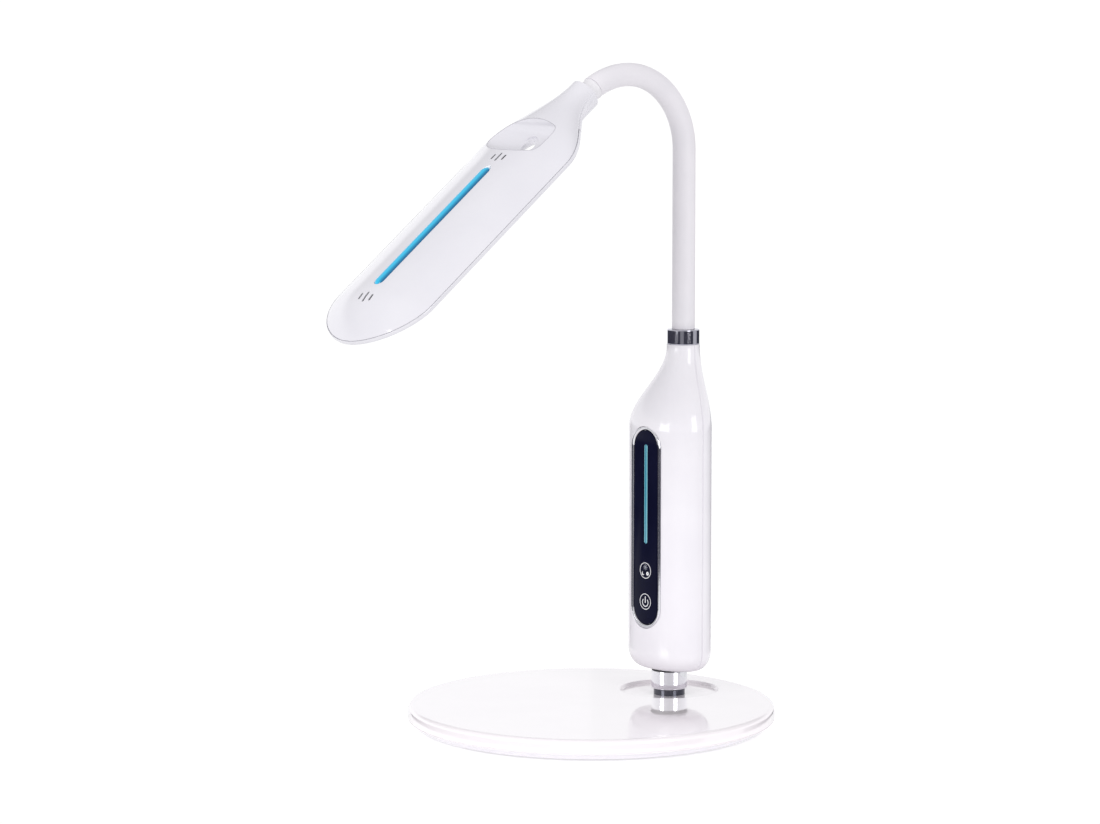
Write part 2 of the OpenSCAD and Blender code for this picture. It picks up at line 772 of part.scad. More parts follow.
module neck_clip() color(steel) translate([0, neck_y, neck_clip_z]) difference() {
    ring_at(neck_clip_d, neck_groove_d + 2 * screw_gap, neck_clip_t);
    translate([-clip_slot_w / 2, -neck_d, -1]) cube([clip_slot_w, neck_d, neck_clip_t + 2]);
}

module neck_ring() color(chrome) translate([0, neck_y, column_top_z])
    ring_at(neck_ring_d, neck_d + 2 * fit_gap, neck_ring_h);

module neck_link(i) color(white) {
    p = joint_at(i - 1);
    q = joint_at(i);
    l = chord(p, q);
    at_joint(p, lean(p, q)) difference() {
        union() {
            cylinder(d = neck_d, h = l);
            translate([0, 0, l]) sphere(d = ball_d);
        }
        sphere(r = socket_r);
        cylinder(d = wire_bore, h = l + neck_d);
    }
}

module neck_end_tube() color(soft_white) {
    l = chord(last_joint, neck_end) + end_tube_in;
    at_joint(last_joint, end_lean) difference() {
        union() {
            cylinder(d = neck_d, h = l);
            translate([0, 0, l - end_flange_t]) cylinder(d = end_flange_d, h = end_flange_t);
        }
        sphere(r = socket_r);
        cylinder(d = wire_bore, h = l + 1);
    }
}

// Lamp head

function tip_u(s) = max(0, (s - tip_s) / tip_l);
function tip_w(s) = pow(max(0, 1 - pow(tip_u(s), tip_power)), 1 / tip_power);
function cover_half(s) =
    (stub_half_w + (head_half - stub_half_w) * ease((s - 2) / (head_shoulder_l - 2))) * tip_w(s);
function crown(s) =
    lip_top + (stub_up + (crown_up - stub_up) * ease(s / 40) - lip_top) * (1 - pow(tip_u(s), 2));
function arch_power(s) = 1.1 + 0.9 * ease((s - 36) / 34);

// Arched section of the head; under adds a skirt below the lip
function arch_loop(s, inset, under) = let (h = cover_half(s) - inset, c = crown(s) - inset) concat(
    [for (i = [0 : arch_steps])
        let (a = 180 * i / arch_steps)
            [h * cos(a), -s, lip_top + (c - lip_top) * pow(sin(a), arch_power(s))]],
    under > 0 ? [[-h, -s, lip_top - under], [h, -s, lip_top - under]] : []
);
shoulder_s = [for (i = [0 : 12]) i * 6];
round_s = [for (i = [0 : 8]) tip_s + tip_l * tip_cut * sin(i * 90 / 8)];
cover_s = concat(shoulder_s, round_s);
hollow_tip_l = tip_l - head_wall;
hollow_s = concat(
    [for (s = shoulder_s) if (s >= stub_wall) s],
    [for (i = [0 : 7]) tip_s + hollow_tip_l * sin(i * 80 / 7)]
);

// Spindle that is turned about a line across the head
module dish_spindle(grow) {
    translate([0, -dish_s, dish_axis_n]) loft([
        for (i = [-8 : 8])
            let (x = dish_half * i / 8, r = dish_r + grow - dish_bow_r + sqrt(dish_bow_r * dish_bow_r - x * x))
                [for (k = [0 : 31]) [x, r * cos(k * 360 / 32), r * sin(k * 360 / 32)]]
    ]);
}

module head_cover() color(white) at_head() difference() {
    loft([for (s = cover_s) arch_loop(s, 0, 0)]);
    difference() {
        loft([for (s = hollow_s) arch_loop(s, head_wall, 1)]);
        dish_spindle(dish_wall);
        at_head_screws() cylinder(d = head_boss_d, h = crown_up);
    }
    dish_spindle(0);
    translate([0, -dish_s, dish_bottom + dish_step]) cylinder(d = dish_step_d, h = crown_up);
    translate([0, -dish_s, 0]) cylinder(d = eyelet_d, h = crown_up);
    strip_cut();
    vent_cuts();
    at_head_screws() cylinder(d = small_screw_d + 2 * screw_gap, h = lip_top + head_screw_l);
    neck_bore();
}

module strip_cut() translate([0, -strip_s - strip_l / 2, crown_up - slot_down])
    linear_extrude(2 * slot_down) polygon(capsule(strip_w + 2 * fit_gap, strip_l + 2 * fit_gap));

module vent_cuts() {
    for (s = vent_s, k = [-1 : 1])
        translate([k * vent_pitch - vent_w / 2, -s - vent_l[k + 1] / 2, crown_up - slot_down])
            cube([vent_w, vent_l[k + 1], 2 * slot_down]);
}

module at_head_screws() {
    for (p = head_screw_at, side = [-1, 1]) translate([side * p[1], -p[0], 0]) children();
}

// Bore for the neck's end tube, along the last stretch of the neck, with room for its flange
module neck_bore() rotate([end_lean - head_droop, 0, 0]) {
    translate([0, 0, -end_tube_l]) cylinder(d = neck_d + 2 * fit_gap, h = end_tube_l + end_tube_in);
    translate([0, 0, end_tube_in - end_flange_t - 2 * fit_gap])
        cylinder(d = end_flange_d + 2 * fit_gap, h = end_flange_t + 4 * fit_gap);
}

module head_frame() color(white) at_head() {
    difference() {
        translate([0, 0, lip_bottom]) linear_extrude(lip_t) polygon(frame_outline(frame_s, lip_out));
        difference() {
            translate([0, 0, tray_floor]) linear_extrude(lip_t) polygon(frame_outline(tray_s, -tray_rim));
            at_head_screws() cylinder(d = head_boss_d + 1, h = lip_top);
        }
        translate([0, -window_mid, -lip_t])
            linear_extrude(2 * lip_t) polygon(rounded(window_w, window_l, window_r));
        head_screw_holes();
        translate([0, -dish_s, -lip_t]) cylinder(d = eyelet_d, h = 3 * lip_t);
    }
    at_led_posts() translate([0, 0, tray_floor - post_root]) {
        cylinder(d = led_post_d, h = led_board_n - tray_floor + post_root);
        cylinder(d = led_pin_d, h = led_board_n - tray_floor + post_root + led_board_t);
    }
}

module head_screw_holes() at_head_screws() translate([0, 0, -lip_t]) {
    cylinder(d = small_screw_d + 2 * screw_gap, h = 3 * lip_t);
    cylinder(d = head_screw_head_d + 2 * fit_gap, h = lip_t + lip_bottom + head_screw_head_t);
}

saddle_s = [for (i = [0 : 5]) saddle_l * i / 5];
tip_round_s = [for (i = [0 : 10]) tip_s + tip_l * tip_cut * sin(i * 9)];
frame_s = concat([saddle_l + 2 * fit_gap], [for (s = shoulder_s) if (s > saddle_l + 1) s], tip_round_s);
tray_s = concat([for (s = shoulder_s) if (s > saddle_l + 1) s], [for (i = [0 : 8]) tip_round_s[i]]);

// Plan outline of the head, grown outwards by out
function frame_outline(stations, out) = concat(
    [for (s = stations) [cover_half(s) + out, -s - out * tip_u(s)]],
    [for (i = [len(stations) - 1 : -1 : 0])
        let (s = stations[i]) [-cover_half(s) - out, -s - out * tip_u(s)]]
);

// Lower half of the neck socket: a flat lip with a round keel that fades out under it
module head_saddle() color(white) at_head() difference() {
    union() {
        translate([0, 0, lip_bottom]) linear_extrude(lip_t) polygon(frame_outline(saddle_s, lip_out));
        difference() {
            rotate([90, 0, 0]) {
                cylinder(r = stub_half_w, h = keel_l);
                translate([0, 0, keel_l])
                    cylinder(r1 = stub_half_w, r2 = -lip_bottom, h = saddle_l - keel_l);
            }
            translate([-head_w / 2, -head_l, lip_top - 0.5]) cube([head_w, 2 * head_l, head_w]);
        }
    }
    head_screw_holes();
    neck_bore();
}

module at_led_posts() {
    for (s = led_post_s, x = [-led_post_x, led_post_x]) translate([x, -s, 0]) children();
}

module diffuser() color(soft_white) at_head() translate([0, -window_mid, 0]) {
    translate([0, 0, tray_floor]) linear_extrude(diffuser_t)
        polygon(rounded(window_w + 2 * diffuser_lap, window_l + 2 * diffuser_lap, window_r + diffuser_lap));
    translate([0, 0, lip_bottom + diffuser_set]) linear_extrude(tray_floor - lip_bottom)
        polygon(rounded(window_w - 2 * fit_gap, window_l - 2 * fit_gap, window_r));
}

module led_board() color(steel) at_head() difference() {
    translate([-led_board_w / 2, -led_board_s[1], led_board_n])
        cube([led_board_w, led_board_s[1] - led_board_s[0], led_board_t]);
    at_led_posts() cylinder(d = led_pin_d + 2 * fit_gap, h = crown_up);
}

module leds() color(lamp_yellow) at_head()
    for (i = [0 : led_rows - 1], k = [0 : led_cols - 1])
        translate([
            (k - (led_cols - 1) / 2) * window_w / (led_cols + 1) - led_size[0] / 2,
            -window_mid + (i - (led_rows - 1) / 2) * window_l / (led_rows + 1) - led_size[1] / 2,
            led_board_n - led_size[2]
        ]) cube(led_size);

module accent_strip() color(blue) at_head() translate([0, -strip_s - strip_l / 2, 0]) {
    round_r = (strip_w * strip_w / 4 + strip_proud * strip_proud) / (2 * strip_proud);
    intersection() {
        translate([0, strip_l, crown_up + strip_proud - round_r])
            rotate([90, 0, 0]) cylinder(r = round_r, h = 2 * strip_l);
        translate([0, 0, crown_up - strip_root])
            linear_extrude(2 * strip_root) polygon(capsule(strip_w, strip_l));
    }
    translate([0, 0, crown_up - head_wall - strip_drop - strip_flange_t])
        linear_extrude(strip_flange_t)
            polygon(capsule(strip_w + 2 * strip_flange, strip_l + 2 * strip_flange));
}

module head_screws() color(steel) at_head() at_head_screws() translate([0, 0, lip_bottom]) {
    cylinder(d = head_screw_head_d, h = head_screw_head_t);
    cylinder(d = small_screw_d, h = lip_t + head_screw_l - 2 * screw_gap);
}

base_shell();
base_ballast();
base_cover();
base_pad();
base_screws();
stem_tube();
stem_washer();
stem_nut();
stem_clip();
stem_collar();
swivel_bush();
front_shell();
rear_shell();
shell_screws();
panel_bezel();
touch_panel();
slider_bar();
control_board();
board_parts();
board_screws();
inlet_socket();
inlet_pin();
neck_root();
neck_clip();
neck_ring();
for (i = [1 : joint_count - 1])
    neck_link(i);
neck_end_tube();
head_cover();
head_saddle();
head_frame();
diffuser();
led_board();
leds();
accent_strip();
head_screws();
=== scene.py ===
import bpy
import bmesh
from math import acos, cos, hypot, pi, radians, sin, sqrt, tan
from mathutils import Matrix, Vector


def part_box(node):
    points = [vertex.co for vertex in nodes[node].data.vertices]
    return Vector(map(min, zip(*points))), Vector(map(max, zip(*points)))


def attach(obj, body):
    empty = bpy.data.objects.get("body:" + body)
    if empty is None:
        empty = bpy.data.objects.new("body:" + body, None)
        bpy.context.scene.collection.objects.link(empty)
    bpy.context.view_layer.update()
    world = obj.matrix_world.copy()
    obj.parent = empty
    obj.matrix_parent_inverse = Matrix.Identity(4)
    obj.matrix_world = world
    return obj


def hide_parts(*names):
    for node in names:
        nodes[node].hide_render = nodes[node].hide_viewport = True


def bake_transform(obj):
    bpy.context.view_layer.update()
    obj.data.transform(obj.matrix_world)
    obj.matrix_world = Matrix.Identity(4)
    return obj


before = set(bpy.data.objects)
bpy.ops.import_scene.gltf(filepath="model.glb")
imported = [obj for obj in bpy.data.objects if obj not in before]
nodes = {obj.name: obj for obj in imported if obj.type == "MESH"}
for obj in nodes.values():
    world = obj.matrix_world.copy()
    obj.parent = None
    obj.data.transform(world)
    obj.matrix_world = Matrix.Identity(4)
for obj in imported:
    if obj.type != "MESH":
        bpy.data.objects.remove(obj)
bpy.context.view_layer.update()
scene = bpy.context.scene
mm = 0.001
print("frame loaded:", len(nodes), "nodes")

# camera, as fitted to the photograph's base ellipse
cameraView = {"turn": 41.5, "away": 2.0, "height": 0.4182, "yaw": -0.642, "pitch": 7.031, "lens": 122.0,
              "sensor": 36, "clip": (0.05, 200)}


def addCamera(c):
    turn, yaw, pitch = (radians(c[k]) for k in ("turn", "yaw", "pitch"))
    acrossAxis = Vector((sin(turn), cos(turn), 0))
    awayAxis = Vector((-cos(turn), sin(turn), 0))
    look = (acrossAxis * sin(yaw) + awayAxis * cos(yaw)) * cos(pitch)
    look.z = -sin(pitch)
    data = bpy.data.cameras.new("photoCamera")
    data.sensor_width, data.lens = c["sensor"], c["lens"]
    data.clip_start, data.clip_end = c["clip"]
    cam = bpy.data.objects.new("photoCamera", data)
    cam.location = awayAxis * -c["away"] + Vector((0, 0, c["height"]))
    cam.rotation_mode = "QUATERNION"
    cam.rotation_quaternion = look.to_track_quat("-Z", "Y")
    scene.collection.objects.link(cam)
    scene.camera = cam


addCamera(cameraView)


# shader maths: a socket that takes part in Python expressions
class Wire:
    def __init__(self, tree, socket=None):
        self.tree, self.socket = tree, socket

    def node(self, kind, settings=None, sockets=None, out=0):
        made = self.tree.nodes.new(kind)
        for name, value in (settings or {}).items():
            if name == "stops":
                ramp = made.color_ramp.elements
                while len(ramp) < len(value):
                    ramp.new(0.5)
                for element, (place, colour) in zip(ramp, value):
                    element.position, element.color = place, colour
            else:
                setattr(made, name, value)
        for name, value in (sockets or {}).items():
            if isinstance(value, Wire):
                self.tree.links.new(value.socket, made.inputs[name])
            else:
                made.inputs[name].default_value = value
        return Wire(self.tree, made.outputs[out])

    def maths(self, kind, a, b=0):
        return self.node("ShaderNodeMath", {"operation": kind}, {0: a, 1: b})

    def __add__(self, other): return self.maths("ADD", self, other)
    __radd__ = __add__
    def __mul__(self, other): return self.maths("MULTIPLY", self, other)
    def __sub__(self, other): return self.maths("SUBTRACT", self, other)

    def mix(self, low, high):
        return self.node("ShaderNodeMix", {"data_type": "RGBA"}, {0: self, 6: low, 7: high}, 2)

    def ramp(self, low, high):
        return self.node("ShaderNodeMapRange", {}, {"Value": self, "From Min": low, "From Max": high})

    def bump(self, strength, depth):
        return self.node("ShaderNodeBump", {}, {"Strength": strength, "Distance": depth, "Height": self})

    def to(self, shader, name):
        self.tree.links.new(self.socket, shader.inputs[name])


def colour(r, g, b):
    return (r, g, b, 1)


# a material's shader, a wire to start from and its Object coordinates
def opened(mat):
    start = Wire(mat.node_tree)
    return mat.node_tree.nodes["Principled BSDF"], start, start.node("ShaderNodeTexCoord", out="Object")


# fine grain and slow mottling on Object coordinates; plain numbers go straight on the shader
texture = {"mottle": 34, "mottleDetail": 3, "grainDetail": 4, "patch": (0.35, 0.65), "bumpDepth": 0.0002}


def finish(name, low, high, rough, roughSpread, grain, bump, **fixed):
    mat = bpy.data.materials.new(name)
    mat.use_nodes = True
    shader, start, place = opened(mat)
    t = texture

    def noise(scale, detail):
        return start.node("ShaderNodeTexNoise", {}, {"Vector": place, "Scale": scale, "Detail": detail})
    slow, fine = noise(t["mottle"], t["mottleDetail"]), noise(grain, t["grainDetail"])
    patch = slow.ramp(*t["patch"])
    tone = patch.mix(colour(*low), colour(*high))
    tone.to(shader, "Base Color")
    roughness = rough + (patch + fine - 1) * roughSpread
    roughness.to(shader, "Roughness")
    fine.bump(bump, t["bumpDepth"]).to(shader, "Normal")
    for socket, value in fixed.items():
        shader.inputs[socket.replace("_", " ")].default_value = value
    return mat


def metal(name, *look):
    return finish(name, *look, Metallic=1.0)


# two tones, roughness and its spread, grain, bump
whiteGloss = finish("whiteGloss", (0.86, 0.84, 0.885), (0.885, 0.865, 0.905), 0.16, 0.04, 900, 0.04,
                    Coat_Weight=0.35, Coat_Roughness=0.05)
# the head is the column's white plastic painted darker and more lilac: painted shade on the head
shadedHeadGloss = finish("shadedHeadGloss", (0.782, 0.772, 0.82), (0.805, 0.795, 0.84), 0.12, 0.03, 900, 0.03,
                   Coat_Weight=0.5, Coat_Roughness=0.03)
# the base is the same white plastic painted lighter: painted light on the base top
litBaseGloss = finish("litBaseGloss", (0.92, 0.875, 0.905), (0.935, 0.89, 0.92), 0.07, 0.02, 900, 0.02,
                   Coat_Weight=1.0, Coat_Roughness=0.015, Coat_IOR=1.9)
sleeveSatin = finish("sleeveSatin", (0.80, 0.78, 0.82), (0.84, 0.815, 0.855), 0.46, 0.08, 2600, 0.16)
bootSatin = finish("bootSatin", (0.81, 0.795, 0.825), (0.84, 0.825, 0.855), 0.42, 0.08, 2600, 0.14)
brightChrome = metal("brightChrome", (0.84, 0.84, 0.88), (0.90, 0.90, 0.93), 0.07, 0.03, 700, 0.02)
darkChrome = metal("darkChrome", (0.60, 0.595, 0.67), (0.70, 0.695, 0.77), 0.08, 0.03, 700, 0.04)
# the stem's chrome painted near-black: painted shade of the stem down in the recess
stemShadedChrome = metal("stemShadedChrome", (0.07, 0.072, 0.09), (0.12, 0.122, 0.14), 0.08, 0.03, 700, 0.02)
zincSteel = metal("zincSteel", (0.42, 0.42, 0.43), (0.55, 0.55, 0.56), 0.34, 0.1, 1500, 0.12)
ballastSteel = metal("ballastSteel", (0.16, 0.16, 0.17), (0.24, 0.235, 0.23), 0.5, 0.12, 800, 0.3)
panelGloss = finish("panelGloss", (0.004, 0.0045, 0.018), (0.006, 0.0068, 0.024), 0.12, 0.03, 900, 0.02,
                    Specular_IOR_Level=0.06)
printWhite = finish("printWhite", (0.84, 0.84, 0.87), (0.92, 0.92, 0.94), 0.4, 0.06, 3000, 0.05)
# grey of the thin line on the dish's rim: painted shade
rimShadeGrey = finish("rimShadeGrey", (0.46, 0.45, 0.49), (0.54, 0.53, 0.57), 0.4, 0.06, 3000, 0.05)
printGrey = finish("printGrey", (0.26, 0.27, 0.32), (0.36, 0.37, 0.42), 0.4, 0.06, 3000, 0.05)
# near-black of the sheets under the vent slits: painted shade
ventShadeBlack = finish("ventShadeBlack", (0.012, 0.012, 0.014), (0.022, 0.022, 0.025), 0.6, 0.08, 1500, 0.1)
# rubber of the foot pad; the same near-black paints the shadow gap under the column
padRubberAndGapShade = finish("padRubberAndGapShade", (0.03, 0.03, 0.032), (0.05, 0.05, 0.052), 0.82, 0.08, 1200, 0.6)
blackMould = finish("blackMould", (0.02, 0.02, 0.022), (0.04, 0.04, 0.042), 0.42, 0.1, 1800, 0.15)
boardGreen = finish("boardGreen", (0.03, 0.16, 0.07), (0.05, 0.22, 0.10), 0.36, 0.08, 1500, 0.12)
bushPlastic = finish("bushPlastic", (0.70, 0.69, 0.66), (0.76, 0.75, 0.72), 0.45, 0.08, 1500, 0.1)
ledPlate = finish("ledPlate", (0.78, 0.78, 0.79), (0.86, 0.86, 0.86), 0.4, 0.06, 1200, 0.06)
ledYellow = finish("ledYellow", (0.85, 0.70, 0.18), (0.92, 0.80, 0.30), 0.3, 0.06, 1500, 0.05)


# light bars: one tone along the middle, another at the sides (painted highlight and shade across the bar), and
# a faint glow
barLook = {"rough": (0.14, 0.03), "grain": 1500, "bump": 0.03, "sides": (0.3, 0.85)}


def lightBar(name, width, middle, side, glow):
    b = barLook
    mat = finish(name, middle, side, *b["rough"], b["grain"], b["bump"], Coat_Weight=0.5, Coat_Roughness=0.05)
    shader, start, place = opened(mat)
    across = start.node("ShaderNodeSeparateXYZ", {}, {0: place}, "X")
    spread = start.maths("ABSOLUTE", across) * (2 / (width * mm))
    tone = spread.ramp(*b["sides"]).mix(colour(*middle), colour(*side))
    tone.to(shader, "Base Color")
    tone.to(shader, "Emission Color")
    shader.inputs["Emission Strength"].default_value = glow
    return mat


# fine square prisms on the diffuser's face
prisms = {"across": 180, "along": 220, "strength": 0.5, "depth": 0.0004}


def opalPrisms(p):
    mat = finish("opalPrisms", (0.80, 0.80, 0.785), (0.84, 0.84, 0.825), 0.34, 0.06, 1500, 0.05)
    shader, start, place = opened(mat)
    wave = {"wave_type": "BANDS", "wave_profile": "TRI"}
    rows = [start.node("ShaderNodeTexWave", dict(wave, bands_direction=axis),
                       {"Vector": place, "Scale": scale}, 1)
            for axis, scale in (("X", p["across"]), ("Y", p["along"]))]
    (rows[0] * rows[1]).bump(p["strength"], p["depth"]).to(shader, "Normal")
    return mat


diffuserOpal = opalPrisms(prisms)
print("finishes made")


# mesh helpers, in millimetres
weld = 1e-7  # metres
axisR = 0.001  # where a turned profile meets its axis


def makeObject(name, points, faces, mat, sharp=38):
    mesh = bpy.data.meshes.new(name)
    mesh.from_pydata([Vector(p) * mm for p in points], [], faces)
    obj = bpy.data.objects.new(name, mesh)
    scene.collection.objects.link(obj)
    return tidyMesh(obj, mat, sharp)


def tidyMesh(obj, mat, sharp=38):
    work = bmesh.new()
    work.from_mesh(obj.data)
    bmesh.ops.remove_doubles(work, verts=work.verts, dist=weld)
    bmesh.ops.dissolve_degenerate(work, edges=work.edges, dist=weld)
    bmesh.ops.recalc_face_normals(work, faces=work.faces)
    work.to_mesh(obj.data)
    work.free()
    obj.data.materials.clear()
    obj.data.materials.append(mat)
    obj.data.shade_smooth()
    obj.data.set_sharp_from_angle(angle=radians(sharp))
    return obj


def fullTurn(n):
    return [2 * pi * i / n for i in range(n)]


def quarterTurn(n):
    return [pi / 2 * i / n for i in range(n + 1)]


def oblong(x, y):
    return [(-x, -y), (x, -y), (x, y), (-x, y)]


def stack(loops):
    n = len(loops[0])
    points = [p for loop in loops for p in loop]
    faces = [(j * n + i, j * n + (i + 1) % n, (j + 1) * n + (i + 1) % n, (j + 1) * n + i)
             for j in range(len(loops) - 1) for i in range(n)]
    top = (len(loops) - 1) * n
    return points, faces + [tuple(reversed(range(n))), tuple(range(top, top + n))]


def closedRing(loops):
    points, faces = stack(loops)
    n, last = len(loops[0]), (len(loops) - 1) * len(loops[0])
    seam = [(last + i, last + (i + 1) % n, (i + 1) % n, i) for i in range(n)]
    return points, faces[:-2] + seam


# a profile of (r, z) turned about z; a ring's profile is closed in itself
def turned(profile, steps, ring=False):
    angles = fullTurn(steps)
    if ring:
        return closedRing([[(r * cos(a), r * sin(a), z) for r, z in profile] for a in angles])
    return stack([[(r * cos(a), r * sin(a), z) for a in angles] for r, z in profile])


def moved(shape, place):
    points, faces = shape
    return [place(*p) for p in points], faces


# corners of a flat outline rounded with short arcs; a point held close to each end keeps the flats flat
def rounded(corners, radius, steps=5, hold=0.03, most=0.49):
    out = []
    for i, corner in enumerate(corners):
        p = Vector(corner)
        back, ahead = Vector(corners[i - 1]) - p, Vector(corners[(i + 1) % len(corners)]) - p
        r = radius[i] if isinstance(radius, (list, tuple)) else radius
        if r <= 0:
            out.append(tuple(p))
            continue
        half = back.angle(ahead) / 2
        reach = min(r / tan(half), back.length * most, ahead.length * most)
        a, b = p + back.normalized() * reach, p + ahead.normalized() * reach
        if reach + hold < back.length * most:
            out.append(tuple(a + back.normalized() * hold))
        for k in range(steps + 1):
            t = k / steps
            out.append(tuple(a * (1 - t) ** 2 + p * 2 * t * (1 - t) + b * t * t))
        if reach + hold < ahead.length * most:
            out.append(tuple(b + ahead.normalized() * hold))
    return out


def capsule(w, l, steps):
    return [(w / 2 * cos(a), e * (l - w) / 2 + w / 2 * sin(a))
            for e in (1, -1) for i in range(steps + 1)
            for a in [pi * (i / steps + (e < 0))]]


# capsules, one over another, as (narrower by, height)
def capsuleLoops(w, l, rows, steps):
    return [[(x, y, h) for x, y in capsule(w - d, l - d, steps)] for d, h in rows]


def cutBy(obj, cutters, mat, sharp=38):
    for cutter in cutters:
        step = obj.modifiers.new("cut", "BOOLEAN")
        step.object, step.operation, step.solver = cutter, "DIFFERENCE", "EXACT"
    plain(obj)
    for cutter in cutters:
        bpy.data.objects.remove(cutter)
    return tidyMesh(obj, mat, sharp)


# the evaluated result as a plain mesh, with no modifiers left
def plain(obj):
    mesh = bpy.data.meshes.new_from_object(obj.evaluated_get(bpy.context.evaluated_depsgraph_get()))
    obj.modifiers.clear()
    obj.data = mesh
    return obj


# exact normals on a formed surface, so that cuts leave no marks in the gloss
def formNormals(obj, normalAt, agree=0.8):
    mesh = obj.data
    given = [Vector(n.vector) for n in mesh.corner_normals]
    for face in mesh.polygons:
        for k in face.loop_indices:
            exact = normalAt(mesh.vertices[mesh.loops[k].vertex_index].co / mm)
            if exact is not None and exact.dot(face.normal) > agree:
                given[k] = exact
    mesh.normals_split_custom_set([tuple(n) for n in given])
    return obj


def ease(t):
    return 0 if t <= 0 else 1 if t >= 1 else 0.5 - 0.5 * cos(pi * t)


def settle(obj, body, slot, *stands):
    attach(obj, body)
    if stands:
        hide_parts(*stands)
    return obj


# a closed profile turned into a ring and set in its place
def turnedRing(name, profile, sides, place, mat, *where):
    return settle(makeObject(name, *moved(turned(profile, sides, True), place), mat), *where)


# base: one turned disc with the round recess sunk into it behind the centre
base = {"edge": 100, "foot": 95.6, "footZ": 3.0, "bevelZ": 4.6, "line": 0.4, "top": 12, "edgeR": 2.5,
        "stemY": 58, "recess": 25.5, "recessTop": 27.4, "recessZ": 8.9, "hollowR": 92.6, "hollowZ": (2, 7.4),
        "coverR": (94.4, 95.2), "padR": 88, "padZ": 0.8}


def stemPlace(x, y, z):
    return (x, y + base["stemY"], z)


def makeBase(b):
    edge, bevel, line, top, foot = (b[k] for k in ("edge", "bevelZ", "line", "top", "footZ"))
    low = [(b["foot"], foot), (edge - 0.6, bevel - 0.6), (edge - 0.1, bevel - 0.15), (edge - 0.1, bevel),
           (edge - line, bevel + 0.1), (edge - line, bevel + line), (edge, bevel + line + 0.1)]
    high = [(edge - b["edgeR"] * (1 - cos(a)), top - b["edgeR"] * (1 - sin(a))) for a in quarterTurn(10)]
    hold = (edge - b["edgeR"] - 0.05, top)
    profile = [(axisR, foot)] + low + high + [hold, (axisR, top)]
    disc = makeObject("baseShell", *turned(profile, 256), litBaseGloss)
    over = top + 0.8
    corners = [(b["recess"], b["recessZ"]), (b["recessTop"], top), (b["recessTop"] + 1.5, over)]
    lip = [(axisR, b["recessZ"])] + rounded(corners, [0.5, 0.5, 0]) + [(axisR, over)]
    sink = makeObject("sink", *moved(turned(lip, 192), stemPlace), litBaseGloss)
    floor, roof = b["hollowZ"]
    room = [(axisR, floor), (b["hollowR"], floor), (b["hollowR"], roof), (axisR, roof)]
    inside = makeObject("hollow", *turned(room, 192), litBaseGloss)
    settle(cutBy(disc, [sink, inside], litBaseGloss, 30), "base", "white_gloss", "base_shell")
    lowR, highR = b["coverR"]
    cover = rounded([(axisR, b["padZ"]), (lowR, b["padZ"]), (highR, foot), (axisR, foot)], [0, 0.4, 0.1, 0])
    settle(makeObject("baseCover", *turned(cover, 256), whiteGloss), "base", "white_sleeve", "base_cover")
    pad = rounded([(axisR, 0), (b["padR"], 0), (b["padR"], b["padZ"]), (axisR, b["padZ"])], [0, 0.3, 0.1, 0])
    settle(makeObject("basePad", *turned(pad, 192), padRubberAndGapShade), "base", "pad", "base_pad")


makeBase(base)
print("base made")

# stem, its collar, and a near-black ring between collar and column, painted shadow of the gap under the column
stem = {"outer": 7.6, "foot": 8.7, "footTop": 16, "bore": 4.5, "spigot": 6.2, "collarOuter": 9.9,
        "collarLow": 12.9, "collarHigh": 27.6, "gapShadeLow": 22.9, "collarGap": 0.06, "collarWall": 0.45}


def ringProfile(inner, outer, low, high, r):
    return rounded([(inner, low), (outer, low), (outer, high), (inner, high)], [0.1, r, r, 0.1], 4)


def makeStem(s):
    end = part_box("stem_tube")[0].z / mm
    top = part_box("stem_tube")[1].z / mm
    floor = base["recessZ"]
    tube = [(s["bore"], end), (s["spigot"], end), (s["spigot"], floor), (s["foot"], floor),
            (s["foot"], s["footTop"]), (s["outer"], s["footTop"]), (s["outer"], top), (s["bore"], top)]
    tube = rounded(tube, 0.15, 3)
    turnedRing("stemTube", tube, 96, stemPlace, stemShadedChrome, "base", "chrome_trim", "stem_tube")
    inner, neckR = s["foot"] + s["collarGap"], s["foot"] + s["collarWall"]
    low, seat, high, outer = (s[k] for k in ("collarLow", "gapShadeLow", "collarHigh", "collarOuter"))
    collar = rounded([(inner, low), (outer, low), (outer, seat), (neckR, seat), (neckR, high), (inner, high)],
                     [0.1, 0.45, 0.3, 0.05, 0.1, 0.1], 4)
    # near-black ring in the collar's step: painted shadow of the gap under the column
    gapShade = ringProfile(neckR + 0.03, outer - 0.15, seat + 0.03, column["low"] + 0.6, 0.1)
    turnedRing("collarSeal", gapShade, 96, stemPlace, padRubberAndGapShade, "column", "pad")
    turnedRing("stemCollar", collar, 128, stemPlace, brightChrome, "column", "chrome_trim", "stem_collar")


# column: two lofted shells with a fine groove where they meet
column = {"low": 24.6, "high": 204, "halfW": 26.6, "halfD": 19.2, "topR": 9.2, "shoulderZ": 157.8,
          "shoulderH": 45, "neckBack": 9.5, "edge": (7.6, 10.6), "wall": 2.2, "floor": 27.6,
          "cavityEdge": (2.8, 2.8), "groove": 0.7, "grooveW": 0.6, "inletUp": 59.4, "inletR": 4.15,
          "inletFrom": 10, "backCut": 30, "collarCut": (23, 29), "neckR": 6.45, "neckCut": (180, 206)}


def columnForm(z, inset=0, floor=None, edge=None):
    c = column
    slope = 1 - ease((z - c["shoulderZ"]) / c["shoulderH"])
    across, tall = edge or c["edge"]
    up = (z - (c["low"] if floor is None else floor)) / tall
    if up < 1:
        inset += across * (1 - sqrt(max(0, 1 - (1 - up) ** 2)))
    q = c["topR"] + (c["halfW"] - c["topR"]) * slope - inset
    p = c["topR"] + (c["halfD"] - c["topR"]) * slope - inset
    return q, p, base["stemY"] + c["neckBack"] * (1 - slope)


